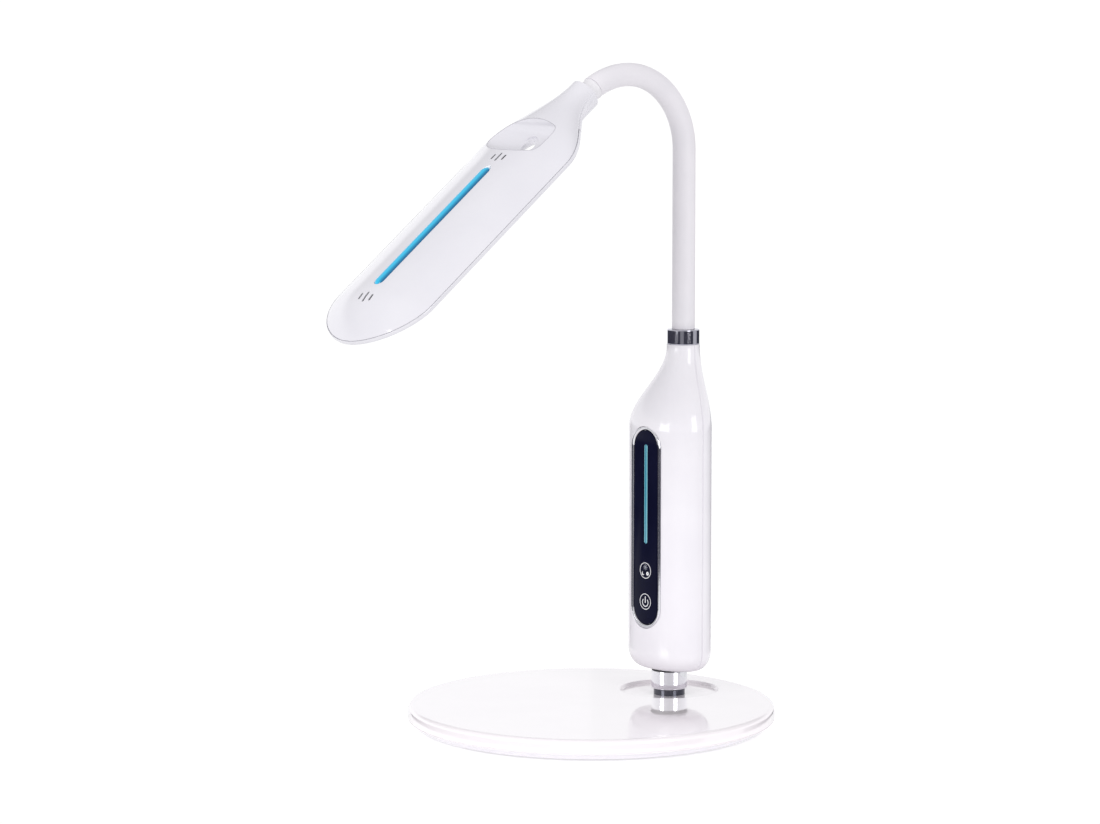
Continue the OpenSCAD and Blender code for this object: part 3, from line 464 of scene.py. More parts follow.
def columnLoop(z, side, steps, inset=0, over=0, floor=None, edge=None, groove=False):
    q, p, middle = columnForm(z, inset, floor, edge)
    angles = [pi * i / steps for i in range(steps + 1)]
    if groove:
        lean = column["grooveW"] / p
        angles = [0, lean * 0.4, lean] + [lean + (pi - 2 * lean) * i / steps for i in range(1, steps)]
        angles += [pi - lean, pi - lean * 0.4, pi]
    out = []
    for a in angles:
        sink = column["groove"] * max(0, 1 - min(a, pi - a) * p / column["grooveW"]) if groove else 0
        out.append(((q - sink) * cos(a), middle - side * (p - sink) * sin(a), z))
    if over:
        out += [(-q, middle + side * over, z), (q, middle + side * over, z)]
    return out


def columnNormal(point, near=0.004, h=0.01):
    x, y, z = point
    if not column["low"] - h < z < column["high"] + h:
        return None

    def level(x, y, z):
        q, p, middle = columnForm(min(max(z, column["low"] + 2 * h), column["high"]))
        return (x / q) ** 2 + ((y - middle) / p) ** 2 - 1
    if abs(level(x, y, z)) > near:
        return None
    return Vector((level(x + h, y, z) - level(x - h, y, z), level(x, y + h, z) - level(x, y - h, z),
                   level(x, y, z + h) - level(x, y, z - h))).normalized()


panel = {"mid": 104.3, "w": 18.6, "l": 107.8, "bezelW": 22.8, "bezelL": 112, "face": 18.6, "sunk": 0.4,
         "depth": 5.2, "gap": 0.3}


def frontPlace(up, forward):
    return lambda x, y, z: (x, base["stemY"] - forward - z, up + y)


def backPlace(x, up):
    return lambda a, b, h: (x + a, base["stemY"] + h, up + b)


def neckPlace(x, y, z):
    return (x, y + base["stemY"] + column["neckBack"], z)


def prism(name, outline, low, high, place, mat=whiteGloss):
    loops = [[(x, y, z) for x, y in outline] for z in (low, high)]
    return makeObject(name, *moved(stack(loops), place), mat)


def rod(name, r, low, high, place, mat=whiteGloss, steps=64):
    return makeObject(name, *moved(turned([(r, low), (r, high)], steps), place), mat)


shellScrews = {"at": [(x, up) for x in (-19, 19) for up in (42.4, 150)], "back": 9, "headR": 2.8, "headH": 1.8,
               "shankR": 1.5, "shankL": 14.8}


def makeColumn(c):
    edgeTop = c["low"] + c["edge"][1]
    edge = [edgeTop - c["edge"][1] * cos(a) for a in quarterTurn(18)]
    straight = [edgeTop + (c["shoulderZ"] - edgeTop) * i / 34 for i in range(1, 34)]
    slope = [c["shoulderZ"] + c["shoulderH"] * i / 48 for i in range(49)]
    inner = [c["floor"] + c["cavityEdge"][1] * (1 - cos(a)) for a in quarterTurn(4)]
    inner += [c["shoulderZ"] + c["shoulderH"] * i / 12 for i in range(12)] + [c["high"] - 4]
    for name, node, side in (("frontShell", "front_shell", 1), ("rearShell", "rear_shell", -1)):
        loops = [columnLoop(z, side, 72, groove=True) for z in edge + straight + slope + [c["high"]]]
        shell = makeObject(name, *stack(loops), whiteGloss)
        hollow = [columnLoop(z, side, 24, c["wall"], 1, c["floor"], c["cavityEdge"]) for z in inner]
        cutters = [makeObject("hollow", *stack(hollow), whiteGloss),
                   rod("collarHole", stem["collarOuter"] + 0.4, *c["collarCut"], stemPlace),
                   rod("neckHole", c["neckR"], *c["neckCut"], neckPlace)]
        if side > 0:
            opening = capsule(panel["bezelW"] + panel["gap"], panel["bezelL"] + panel["gap"], 32)
            cutters.append(prism("opening", opening, 0, 12, frontPlace(panel["mid"], 10)))
        else:
            holeR = shellScrews["headR"] + 0.15
            cutters += [rod("screwHole", holeR, shellScrews["back"], c["backCut"], backPlace(*spot))
                        for spot in shellScrews["at"]]
            inlet = backPlace(0, c["inletUp"])
            cutters.append(rod("inletHole", c["inletR"], c["inletFrom"], c["backCut"], inlet))
        cutBy(shell, cutters, whiteGloss, 32)
        formNormals(shell, columnNormal)
        settle(shell, "column", "white_gloss", node)


makeStem(stem)
makeColumn(column)
print("column made")


# touch panel: plated bezel, dark window, light bar and printed signs
def bezelLoops(p):
    back, face = p["face"] - p["depth"], p["face"]
    rows = [(-4, back - 2), (-4, back), (0, back), (0, face - 0.55), (0.2, face - 0.25), (0.5, face - 0.06),
            (0.7, face), (2.4, face), (2.5, face - 0.04), (3.6, face - 0.46), (3.8, face - 0.75),
            (3.95, face - 1.0), (3.95, face - 2.4), (6.2, face - 2.4), (6.2, back - 2)]
    return capsuleLoops(p["bezelW"], p["bezelL"], rows, 40)


def makePanel(p):
    ring = moved(closedRing(bezelLoops(p)), frontPlace(p["mid"], 0))
    settle(makeObject("panelBezel", *ring, brightChrome, 50), "column", "chrome_trim", "panel_bezel")
    face = p["face"] - p["sunk"]
    rows = [(0, face - 2), (0, face - 0.3), (0.2, face - 0.1), (0.7, face)]
    loops = capsuleLoops(p["w"], p["l"], rows, 40)
    window = makeObject("touchPanel", *moved(stack(loops), frontPlace(p["mid"], 0)), panelGloss)
    slot = capsule(slider["w"] + slider["gap"], slider["l"] + slider["gap"], 16)
    slotCut = prism("slotCut", slot, face - 3, face + 1, frontPlace(slider["mid"], 0))
    cutBy(window, [slotCut], panelGloss)
    settle(window, "column", "black_panel", "touch_panel")


# the slider's side tone is lighter than its middle: a painted highlight along its rim
slider = {"mid": 122.9, "w": 2.5, "l": 55, "flangeW": 5.5, "flangeL": 58, "gap": 0.3,
          "middle": (0.03, 0.21, 0.31), "side": (0.24, 0.56, 0.63), "glow": 0.14}


def makeSlider(s):
    face = panel["face"] - panel["sunk"]
    flange, bar = (s["flangeW"], s["flangeL"]), (s["w"], s["l"])
    # outline, narrower by, below the face
    rows = [(flange, 0, 3), (flange, 0, 2), (bar, 0, 2), (bar, 0, 0.2), (bar, 0.3, 0.05), (bar, 0.8, 0)]
    loops = [[(x, y, face - down) for x, y in capsule(w - d, l - d, 16)] for (w, l), d, down in rows]
    teal = lightBar("sliderTeal", s["w"], s["middle"], s["side"], s["glow"])
    bar = makeObject("sliderBar", *moved(stack(loops), frontPlace(s["mid"], 0)), teal)
    settle(bar, "column", "blue_light", "slider_bar")


# flat printed shapes a few hundredths of a millimetre above the window; places are from each ring's middle
# arc: up, radius, line, start, sweep; bar: half width, low, high; moon: x, up, radius; dial: the same, line
# sun: up, radius, line; rays: from, to, half angle
signs = {"modeUp": 80.4, "powerUp": 63.1, "ring": 4.45, "line": 0.36, "proud": 0.03,
         "arc": (-0.4, 2.5, 0.5, 135, 270), "bar": (0.3, -0.7, 2.9), "moonOut": (-1.9, -1.7, 1.05),
         "moonIn": (-1.5, -1.4, 0.82), "dial": (1.75, -1.55, 1.05, 0.8), "sun": (1.9, 0.8, 0.6),
         "rays": (1.0, 1.7, 0.12)}


def bandShape(x, up, r, line, start=0, sweep=360, steps=64):
    span = [radians(start + sweep * i / steps) for i in range(steps + (sweep < 360))]
    inner = [(x + (r - line) * cos(a), up + (r - line) * sin(a)) for a in span]
    outer = [(x + r * cos(a), up + r * sin(a)) for a in span]
    n, pairs = len(span), range(steps)
    return inner + outer, [(i, (i + 1) % n, n + (i + 1) % n, n + i) for i in pairs]


def patchShape(outline):
    return outline, [tuple(range(len(outline)))]


def printSign(name, shapes, mat):
    depth = base["stemY"] - (panel["face"] - panel["sunk"]) - signs["proud"]
    points, faces = [], []
    for flat, flatFaces in shapes:
        shift = len(points)
        points += [(x, depth, z) for x, z in flat]
        faces += [tuple(shift + i for i in f) for f in flatFaces]
    mesh = makeObject(name, points, faces, mat)
    thick = mesh.modifiers.new("film", "SOLIDIFY")
    thick.thickness, thick.offset = signs["proud"] * mm, 0
    plain(mesh)
    settle(tidyMesh(mesh, mat), "column", "black_panel")


def makeSigns(s):
    up = s["powerUp"]
    half, low, high = s["bar"]
    bar = patchShape([(-half, up + low), (half, up + low), (half, up + high), (-half, up + high)])
    power = [bandShape(0, up, s["ring"], s["line"]), bandShape(0, up + s["arc"][0], *s["arc"][1:]), bar]
    printSign("powerSign", power, printWhite)
    up = s["modeUp"]
    sweep = [radians(100 + 250 * i / 20) for i in range(21)]
    moon = [(x + r * cos(a), up + y + r * sin(a)) for (x, y, r), angles in
            ((s["moonOut"], sweep), (s["moonIn"], sweep[-3:1:-1])) for a in angles]
    x, y, r, line = s["dial"]
    mode = [bandShape(0, up, s["ring"], s["line"]), patchShape(moon), bandShape(x, up + y, r, line)]
    printSign("modeSign", mode, printWhite)
    sunUp, sunR, sunLine = s["sun"]
    near, far, lean = s["rays"]
    rays = [patchShape([(r * cos(a), up + sunUp + r * sin(a)) for r, a in
                        ((near, t - lean), (far, t - lean), (far, t + lean), (near, t + lean))])
            for t in [pi * k / 4 for k in range(8)]]
    printSign("lampSign", [bandShape(0, up + sunUp, sunR, sunLine)] + rays, printGrey)


makePanel(panel)
makeSlider(slider)
makeSigns(signs)
print("touch panel made")


# gooseneck path: a straight rise, a tight bend and a slack droop, measured along its length
neck = {"y": 67.5, "start": 212.3, "rise": 98.5, "bendR": 42, "droopR": 50, "droop": 37.2, "firstJoint": 9.5,
        "endTube": 10.8, "joints": 12, "radius": 6.3, "ringR": 8.9, "ringGap": 0.06, "ringEdge": 0.5,
        "sleeveLow": 0.2, "sleeveShort": 6.5, "squareEnd": 0.02, "steps": 18, "fromAbove": (10,)}
arcLength = neck["bendR"] * pi / 2
pathLength = neck["rise"] + arcLength + neck["droopR"] * radians(neck["droop"])
jointPitch = (pathLength - neck["firstJoint"] - neck["endTube"]) / (neck["joints"] - 1)


def neckAt(u):
    n = neck
    top = n["start"] + n["rise"]
    if u <= n["rise"]:
        return Vector((0, n["y"], n["start"] + u))
    if u <= n["rise"] + arcLength:
        a = (u - n["rise"]) / n["bendR"]
        return Vector((0, n["y"] - n["bendR"] * (1 - cos(a)), top + n["bendR"] * sin(a)))
    a = (u - n["rise"] - arcLength) / n["droopR"]
    return Vector((0, n["y"] - n["bendR"] - n["droopR"] * sin(a),
                   top + n["bendR"] - n["droopR"] * (1 - cos(a))))


# a geometry tree with named inputs, which ends by making the result real and painting it
def makeTree(name, given, parts, links):
    tree = bpy.data.node_groups.new(name, "GeometryNodeTree")
    sockets = {}
    for label, kind in dict(given, Finish="Material").items():
        made = tree.interface.new_socket(label, in_out="INPUT", socket_type="NodeSocket" + kind)
        sockets[label] = made.identifier
    tree.interface.new_socket("Result", in_out="OUTPUT", socket_type="NodeSocketGeometry")
    made = {"given": tree.nodes.new("NodeGroupInput"), "done": tree.nodes.new("NodeGroupOutput")}
    for part, kind in dict(parts, real="RealizeInstances", paint="SetMaterial").items():
        made[part] = tree.nodes.new("GeometryNode" + kind)
    last = ("real Geometry, paint Geometry", "given Finish, paint Material", "paint Geometry, done Result")
    for link in links + last:
        (a, outSocket), (b, inSocket) = (end.split(" ", 1) for end in link.split(", "))
        tree.links.new(made[a].outputs[outSocket], made[b].inputs[inSocket])
    return tree, sockets, made


# runs a tree on a guide and keeps the result as a plain piece
def grow(name, guideData, tree, sockets, mat, values):
    guide = bpy.data.objects.new(name + "Guide", guideData)
    scene.collection.objects.link(guide)
    step = guide.modifiers.new("grow", "NODES")
    step.node_group = tree
    for label, value in dict(values, Finish=mat).items():
        step[sockets[label]] = value
    mesh = bpy.data.meshes.new_from_object(guide.evaluated_get(bpy.context.evaluated_depsgraph_get()))
    bpy.data.objects.remove(guide)
    obj = bpy.data.objects.new(name, mesh)
    scene.collection.objects.link(obj)
    return tidyMesh(obj, mat)


# one tube tree for every stretch of the sleeve and for the painted shade line on the dish's rim
tubeTree, tubeSockets, tubeParts = makeTree(
    "sweptTube", {"Path": "Geometry", "Radius": "Float", "Sides": "Int"},
    {"circle": "CurvePrimitiveCircle", "sweep": "CurveToMesh"},
    ("given Path, sweep Curve", "given Radius, circle Radius", "given Sides, circle Resolution",
     "circle Curve, sweep Profile Curve", "sweep Mesh, real Geometry"))
tubeParts["sweep"].inputs["Fill Caps"].default_value = True


def sweepTube(name, points, radius, mat, sides=56, closed=False):
    data = bpy.data.curves.new(name + "Path", "CURVE")
    data.dimensions = "3D"
    spline = data.splines.new("POLY")
    spline.points.add(len(points) - 1)
    spline.use_cyclic_u = closed
    for point, place in zip(spline.points, points):
        point.co = (*(place * mm), 1)
    return grow(name, data, tubeTree, tubeSockets, mat, {"Radius": radius * mm, "Sides": sides})


def makeNeck(n):
    ends = [n["sleeveLow"]] + [n["firstJoint"] + (i + 0.5) * jointPitch for i in range(n["joints"] - 1)]
    ends.append(pathLength - n["sleeveShort"])
    steps, square = n["steps"], n["squareEnd"]
    for i in range(n["joints"]):
        length = ends[i + 1] - ends[i]
        along = [0, square] + [length * k / steps for k in range(1, steps)] + [length - square, length]
        points = [neckAt(ends[i] + u) for u in along]
        tube = sweepTube("neckSleeve_%d" % i, points, n["radius"], sleeveSatin)
        below = "column" if i == 0 else "link_%d" % i
        above = "head" if i == n["joints"] - 1 else "link_%d" % (i + 1)
        at = n["firstJoint"] + i * jointPitch
        reach = min(at - ends[i], ends[i + 1] - at)
        pair = [(below, neckAt(at - reach) * mm), (above, neckAt(at + reach) * mm)]
        if i in n["fromAbove"]:  # this stretch's pair is listed from its upper link
            pair.reverse()
        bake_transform(tube)
        if i > 0:
            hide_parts("neck_link_%d" % i)
    ring = ringProfile(n["radius"] + n["ringGap"], n["ringR"], column["high"], n["start"], n["ringEdge"])
    place = lambda x, y, z: (x, y + n["y"], z)
    turnedRing("neckRing", ring, 128, place, darkChrome, "column", "chrome_trim", "neck_ring")


makeNeck(neck)
print("gooseneck made")

# lamp head: s runs along it from the neck, n is up from the neck's axis
head = {"droop": 37.2, "length": 202.5, "half": 37.9, "crown": 12.2, "stubUp": 9.4, "stubHalf": 8.4,
        "stubEnd": 2, "shoulder": 58, "rise": 40, "tip": 31, "tipPower": 1.8, "lipTop": 1.8, "lipLow": -0.6,
        "lipOut": 0.6, "wall": 1.6, "fineTo": 96, "cutLow": 6, "cutHigh": 20,
        "archPower": (1.1, 0.9), "archFrom": 36, "archSpan": 34}
headEnd = neckAt(pathLength)
droopAngle = radians(head["droop"])
alongHead = Vector((0, -cos(droopAngle), -sin(droopAngle)))
upHead = Vector((0, -sin(droopAngle), cos(droopAngle)))
tipStart = head["length"] - head["tip"]


def headPlace(w, s, n):
    return tuple(Vector((w, 0, 0)) + headEnd + alongHead * s + upHead * n)


def headLocal(point):
    away = Vector(point) - headEnd
    return away.x, away.dot(alongHead), away.dot(upHead)


def tipShare(s):
    return max(0, (s - tipStart) / head["tip"])


def coverHalf(s):
    h = head
    wide = ease((s - h["stubEnd"]) / (h["shoulder"] - h["stubEnd"]))
    wide = h["stubHalf"] + (h["half"] - h["stubHalf"]) * wide
    return wide * max(0, 1 - tipShare(s) ** h["tipPower"]) ** (1 / h["tipPower"])


def crownAt(s):
    h = head
    up = h["stubUp"] + (h["crown"] - h["stubUp"]) * ease(s / h["rise"])
    return h["lipTop"] + (up - h["lipTop"]) * (1 - tipShare(s) ** 2)


def archPower(s):
    low, gain = head["archPower"]
    return low + gain * ease((s - head["archFrom"]) / head["archSpan"])


def archPoint(s, a, inset=0):
    h, c, low = coverHalf(s) - inset, crownAt(s) - inset, head["lipTop"]
    return Vector((h * cos(a), s, low + (c - low) * max(0, sin(a)) ** archPower(s)))


def archUp(w, s):
    return archPoint(s, acos(max(-1, min(1, w / coverHalf(s))))).z


def archLoop(s, steps, inset=0, under=0):
    loop = [tuple(archPoint(s, pi * i / steps, inset)) for i in range(steps + 1)]
    if under:
        h = coverHalf(s) - inset
        loop += [(-h, s, head["lipTop"] - under), (h, s, head["lipTop"] - under)]
    return loop


def coverNormal(point, near=0.06, da=0.01, ds=0.02):
    w, s, n = headLocal(point)
    if not 0 <= s < tipStart + head["tip"] * 0.994 or n < head["lipTop"] + ds:
        return None
    a = acos(min(1, max(-1, w / max(coverHalf(s), 0.01))))
    a = min(max(a, 3 * da), pi - 3 * da)
    if (archPoint(s, a) - Vector((w, s, n))).length > near:
        return None
    s = max(s, ds)
    across = archPoint(s, a + da) - archPoint(s, a - da)
    along = archPoint(s + ds, a) - archPoint(s - ds, a)
    out = across.cross(along)
    if out.z < 0:
        out = -out
    return (Vector((1, 0, 0)) * out.x + alongHead * out.y + upHead * out.z).normalized()


# flare: wider than the eyelet, up; from the crown, the strip's foot: inset, up; its facet: outline, up
dish = {"s": 48, "low": 3.2, "r": 14.2, "bow": 90, "half": 36, "near": 20, "span": 13.3, "blunt": 3.6,
        "fall": 2.4, "sides": 96, "shadeLineR": 0.13, "shadeLineSteps": 180, "shadeLineReach": 34, "halvings": 30, "step": 3.8,
        "stepR": 6.8, "eyeR": 4.5, "eyeLow": -2, "flare": ((4, -2.2), (0, 1.9), (0, 5)), "wall": 2}
dishAxis = dish["low"] + dish["r"]
# the strip's middle tone is a painted highlight and its side tone painted shade at its edges
strip = {"s": 76, "l": 94, "w": 6.5, "proud": 1.2, "gap": 0.3, "middle": (0.02, 0.47, 0.74),
         "side": (0.004, 0.13, 0.28), "glow": 0.15, "foot": ((-1.5, -3.1), (-1.5, -1.9), (0, -1.9)),
         "facet": ((((-4.0, 0.6), (0, -3.4), (4.0, 0.6), (0, 6)), 0.7),
                   (((-1.5, 0.6), (0, -0.6), (1.5, 0.6), (0, 2)), -1.1))}
vents = {"s": (67, 179), "pitch": 4.2, "w": 1.4, "lengths": (4.4, 6.8, 4.4), "shadeSize": (6.5, 4.2),
         "shadeDown": (1.2, 0.25)}


# a spindle across the head, drawn in bluntly at its near end
def dishRadius(x, extra=0):
    d = dish
    r = d["r"] - d["bow"] + sqrt(d["bow"] ** 2 - x * x)
    if x > 0:
        u = min(1, x / (d["near"] + extra))
        span = d["span"] * (1 - u ** d["blunt"]) ** (1 / d["blunt"])
        r = min(r, hypot(span, dishAxis - head["crown"] + d["fall"] * u * u))
    return r + extra


def dishSpindle(name, extra, steps):
    d = dish
    loops = []
    for i in range(-steps, steps + 1):
        x = d["half"] * i / steps if i < 0 else (d["near"] + extra) * sin(pi / 2 * i / steps)
        r = dishRadius(x, extra)
        loops.append([(x, d["s"] + r * cos(a), dishAxis + r * sin(a)) for a in fullTurn(d["sides"])])
    return makeObject(name, *moved(stack(loops), headPlace), shadedHeadGloss)


# fine grey line where the dish meets the arch, painted shade along the dish's rim
def dishSeam(d):
    rim = []
    for turn in fullTurn(d["shadeLineSteps"]):
        near, far = 0, d["shadeLineReach"]
        for _ in range(d["halvings"]):
            out = (near + far) / 2
            w, s = out * cos(turn), d["s"] + out * sin(turn)
            n = archUp(w, s)
            if hypot(s - d["s"], n - dishAxis) < dishRadius(w):
                near = out
            else:
                far = out
        rim.append(Vector(headPlace(w, s, n)))
    settle(sweepTube("dishSeam", rim, d["shadeLineR"], rimShadeGrey, 10, True), "head", "white_gloss")


def headRod(name, r, w, s, low, high):
    return rod(name, r, low, high, lambda a, b, h: headPlace(w + a, s + b, h))


def headPrism(name, outline, w, s, low, high):
    return prism(name, outline, low, high, lambda x, y, h: headPlace(w + x, s + y, h))


def makeCover(h):
    fine, wall = h["fineTo"], h["wall"]
    body = [fine * i / 64 for i in range(65)] + [fine + (tipStart - fine) * i / 48 for i in range(1, 48)]
    tip = [tipStart + h["tip"] * 0.995 * sin(a) for a in quarterTurn(28)]
    outer = stack([archLoop(s, 72) for s in body + tip])
    cover = makeObject("headCover", *moved(outer, headPlace), shadedHeadGloss)
    inner = [s for s in body if s >= 3]
    inner += [tipStart + (h["tip"] - wall) * sin(a) for a in quarterTurn(9)[:-1]]
    loops = [archLoop(s, 36, wall, 1) for s in inner]
    hollow = makeObject("hollow", *moved(stack(loops), headPlace), shadedHeadGloss)
    cutBy(hollow, [dishSpindle("bowl", dish["wall"], 20)], shadedHeadGloss)
    # small point cut at the strip's upper end
    point = [[headPlace(x, strip["s"] + y, h["crown"] + up) for x, y in ring] for ring, up in strip["facet"]]
    slot = capsule(strip["w"] + strip["gap"], strip["l"] + strip["gap"], 24)
    low, high = h["cutLow"], h["cutHigh"]
    cutters = [hollow, dishSpindle("dish", 0, 40),
               headRod("step", dish["stepR"], 0, dish["s"], dish["step"], high),
               headRod("eyelet", dish["eyeR"], 0, dish["s"], dish["eyeLow"], high),
               makeObject("facet", *stack(point), shadedHeadGloss),
               headPrism("slot", slot, 0, strip["s"] + strip["l"] / 2, low, high)]
    cutters += [headPrism("vent", capsule(vents["w"], l, 8), k * vents["pitch"], s, low, high)
                for s in vents["s"] for k, l in zip((-1, 0, 1), vents["lengths"])]
    cutBy(cover, cutters, shadedHeadGloss, 32)
    formNormals(cover, coverNormal)
    settle(cover, "head", "white_gloss", "head_cover")


# near-black sheet just under the vent slits: painted shade inside the vents
def makeVentShade(v):
    outline = rounded(oblong(*v["shadeSize"]), 1)
    for i, s in enumerate(v["s"]):
        back = [[headPlace(x, s + y, archUp(x, s + y) - down) for x, y in outline]
                for down in v["shadeDown"]]
        shade = makeObject("ventScreen_%d" % i, *stack(back), ventShadeBlack)
        settle(shade, "head", "inlet")


def lipOutline(stations, out):
    right = [(coverHalf(s) + out, s + out * tipShare(s)) for s in stations]
    return right + [(-x, s) for x, s in reversed(right)]


# screws as (along, across); the first pair is in the saddle
headScrews = {"at": ((24, 13), (56, 27), (191, 12)), "hole": 2.45, "headR": 2.3, "headH": 1.2, "shankR": 1.0,
              "shankL": 5.4, "cut": (-3, 0.6)}
lightWindow = {"mid": 122, "halfW": 29, "halfL": 54, "corner": 8, "gap": 0.15, "cut": (-3, 5),
               "rows": ((0.5, -0.4), (0.15, -0.3), (0, 0), (0, 0.9), (-2.0, 0.9), (-2.0, 2.4))}
saddle = {"length": 30, "keel": 12, "gap": 0.3, "bore": 6.15, "boreSpan": (-14, 16.5), "steps": 40,
          "arcSteps": 16}


def windowOutline(inset):
    w = lightWindow
    return rounded(oblong(w["halfW"] - inset, w["halfL"] - inset), w["corner"], 10)


def makeFrame(h):
    tip = [tipStart + h["tip"] * 0.998 * sin(a) for a in quarterTurn(30)]
    first = saddle["length"] + saddle["gap"]
    stations = [first + (tipStart - first) * i / 60 for i in range(60)] + tip
    wide, low, top = h["lipOut"], h["lipLow"], h["lipTop"]
    rows = [(wide - 0.5, low), (wide - 0.15, low + 0.15), (wide, low + 0.5), (wide, top - 0.4),
            (wide - 0.1, top - 0.15), (wide - 0.25, top - 0.1), (wide - 0.3, top - 0.8), (-0.3, top - 0.8),
            (-0.35, top)]
    loops = [[headPlace(x, s, n) for x, s in lipOutline(stations, out)] for out, n in rows]
    lip = makeObject("headFrame", *stack(loops), shadedHeadGloss)
    flare = [(dish["eyeR"] + wider, n) for wider, n in dish["flare"]]
    place = lambda a, b, n: headPlace(a, dish["s"] + b, n)
    cutters = [headPrism("window", windowOutline(0), 0, lightWindow["mid"], *lightWindow["cut"]),
               makeObject("eyelet", *moved(turned(flare, 64), place), shadedHeadGloss)]
    cutters += [headRod("screwHole", headScrews["hole"], side * w, s, *headScrews["cut"])
                for s, w in headScrews["at"][1:] for side in (-1, 1)]
    settle(cutBy(lip, cutters, shadedHeadGloss, 30), "head", "white_gloss", "head_frame")


def makeDiffuser(w):
    loops = [[headPlace(x, w["mid"] + y, n) for x, y in windowOutline(w["gap"] + inset)]
             for inset, n in w["rows"]]
    settle(makeObject("diffuser", *stack(loops), diffuserOpal), "head", "opal", "diffuser")


def makeStrip(t):
    roundR = (t["w"] ** 2 / 4 + t["proud"] ** 2) / (2 * t["proud"])
    top = head["crown"] + t["proud"]
    rows = [(inset, head["crown"] + up) for inset, up in t["foot"]]
    for a in quarterTurn(12):
        inset = t["w"] / 2 * (1 - cos(a)) * 0.999
        x = t["w"] / 2 - inset
        rows.append((inset, top - roundR + sqrt(roundR ** 2 - x * x)))
    middle = t["s"] + t["l"] / 2
    loops = [[headPlace(x, middle + y, n) for x, y in capsule(t["w"] - 2 * i, t["l"] - 2 * i, 24)]
             for i, n in rows]
    blue = lightBar("stripBlue", t["w"], t["middle"], t["side"], t["glow"])
    settle(makeObject("accentStrip", *stack(loops), blue, 30), "head", "blue_light", "accent_strip")


# lower half of the neck socket: flat lip with a keel that fades out under it
def makeSaddle(d):
    h = head
    loops = []
    for k in range(d["steps"] + 1):
        s = d["length"] * k / d["steps"]
        half = coverHalf(s) + h["lipOut"]
        fade = max(0, 1 - max(0, s - d["keel"]) / (d["length"] - d["keel"]))
        keel = -h["lipLow"] + (h["stubHalf"] + h["lipLow"]) * fade
        top = [(half - 0.3, h["lipTop"]), (half - 0.08, h["lipTop"] - 0.1), (half, h["lipTop"] - 0.4),
               (half, h["lipLow"] + 0.4), (half - 0.1, h["lipLow"] + 0.1), (half - 0.3, h["lipLow"])]
        low = []
        for a in quarterTurn(d["arcSteps"]):
            x = min(keel, half - 0.35) * cos(a)
            low.append((x, min(h["lipLow"], -keel * sin(a))))
        side = top + low
        loops.append([(x, s, n) for x, n in side] + [(-x, s, n) for x, n in reversed(side[:-1])])
    piece = makeObject("headSaddle", *moved(stack(loops), headPlace), shadedHeadGloss, 34)
    cutters = [rod("bore", d["bore"], *d["boreSpan"], endPlace, bootSatin)]
    settle(cutBy(piece, cutters, shadedHeadGloss, 34), "head", "white_gloss", "head_saddle")


# along the last stretch of the neck, measured from the end of its path
endTurn = (headEnd - neckAt(pathLength - neck["endTube"])).to_track_quat("Z", "Y")
boot = {"profile": ((2, -6.6), (5.7, -6.6), (6.18, -6.3), (6.2, -5.6), (6.05, -5.0), (5.95, -3), (5.98, 2),
                    (6.0, 13.5), (6.5, 13.5), (6.5, 15.9), (2, 15.9)), "edge": 0.2}


def endPlace(a, b, c):
    return tuple(headEnd + endTurn @ Vector((a, b, c)))


def makeBoot(b):
    profile = rounded(b["profile"], b["edge"], 3)
    turnedRing("neckBoot", profile, 96, endPlace, bootSatin, "head", "white_sleeve", "neck_end_tube")


makeCover(head)
dishSeam(dish)
makeVentShade(vents)
makeFrame(head)
makeDiffuser(lightWindow)
makeStrip(strip)
makeSaddle(saddle)
makeBoot(boot)
print("lamp head made")


# cross-recess screws set on their places by one tree
setTree, setSockets, _ = makeTree(
    "screwSet", {"Places": "Geometry", "Screw": "Object", "Turn": "Rotation"},
    {"shape": "ObjectInfo", "set": "InstanceOnPoints"},
    ("given Places, set Points", "given Screw, shape Object", "shape Geometry, set Instance",
     "given Turn, set Rotation", "set Instances, real Geometry"))


# the cross as shares of the head's radius and height, and the edges of the screw's profile
cross = {"wide": 0.16, "long": 0.62, "deep": 0.6, "edges": (0, 0.3, 0, 0.1, 0.35, 0)}


def crossScrew(size):
    headR, headH, shankR, shankL = (size[k] for k in ("headR", "headH", "shankR", "shankL"))
    corners = [(axisR, -shankL), (shankR, -shankL), (shankR, -headH), (headR, -headH), (headR, 0), (axisR, 0)]
    shape = rounded(corners, cross["edges"], 4)
    screw = makeObject("screw", *turned(shape, 40), zincSteel)
    wide, long = headR * cross["wide"], headR * cross["long"]
    place = lambda x, y, z: (x, y, z)
    cutters = [prism("cross", oblong(a, b), -headH * cross["deep"], 1, place)
               for a, b in ((wide, long), (long, wide))]
    return cutBy(screw, cutters, zincSteel)


def setScrews(name, places, facing, size, body, node):
    mesh = bpy.data.meshes.new(name + "Places")
    mesh.from_pydata([Vector(p) * mm for p in places], [], [])
    screw = crossScrew(size)
    turn = facing.to_track_quat("Z", "Y").to_euler()
    obj = grow(name, mesh, setTree, setSockets, zincSteel, {"Screw": screw, "Turn": turn})
    bpy.data.objects.remove(screw)
    settle(obj, body, "steel", node)


shellPlaces = [(x, base["stemY"] + shellScrews["back"] + shellScrews["headH"], up)
               for x, up in shellScrews["at"]]
setScrews("shellScrews", shellPlaces, Vector((0, 1, 0)), shellScrews, "column", "shell_screws")
headPlaces = [headPlace(side * w, s, head["lipLow"]) for s, w in headScrews["at"] for side in (-1, 1)]
setScrews("headScrews", headPlaces, -upHead, headScrews, "head", "head_screws")
print("screws set")

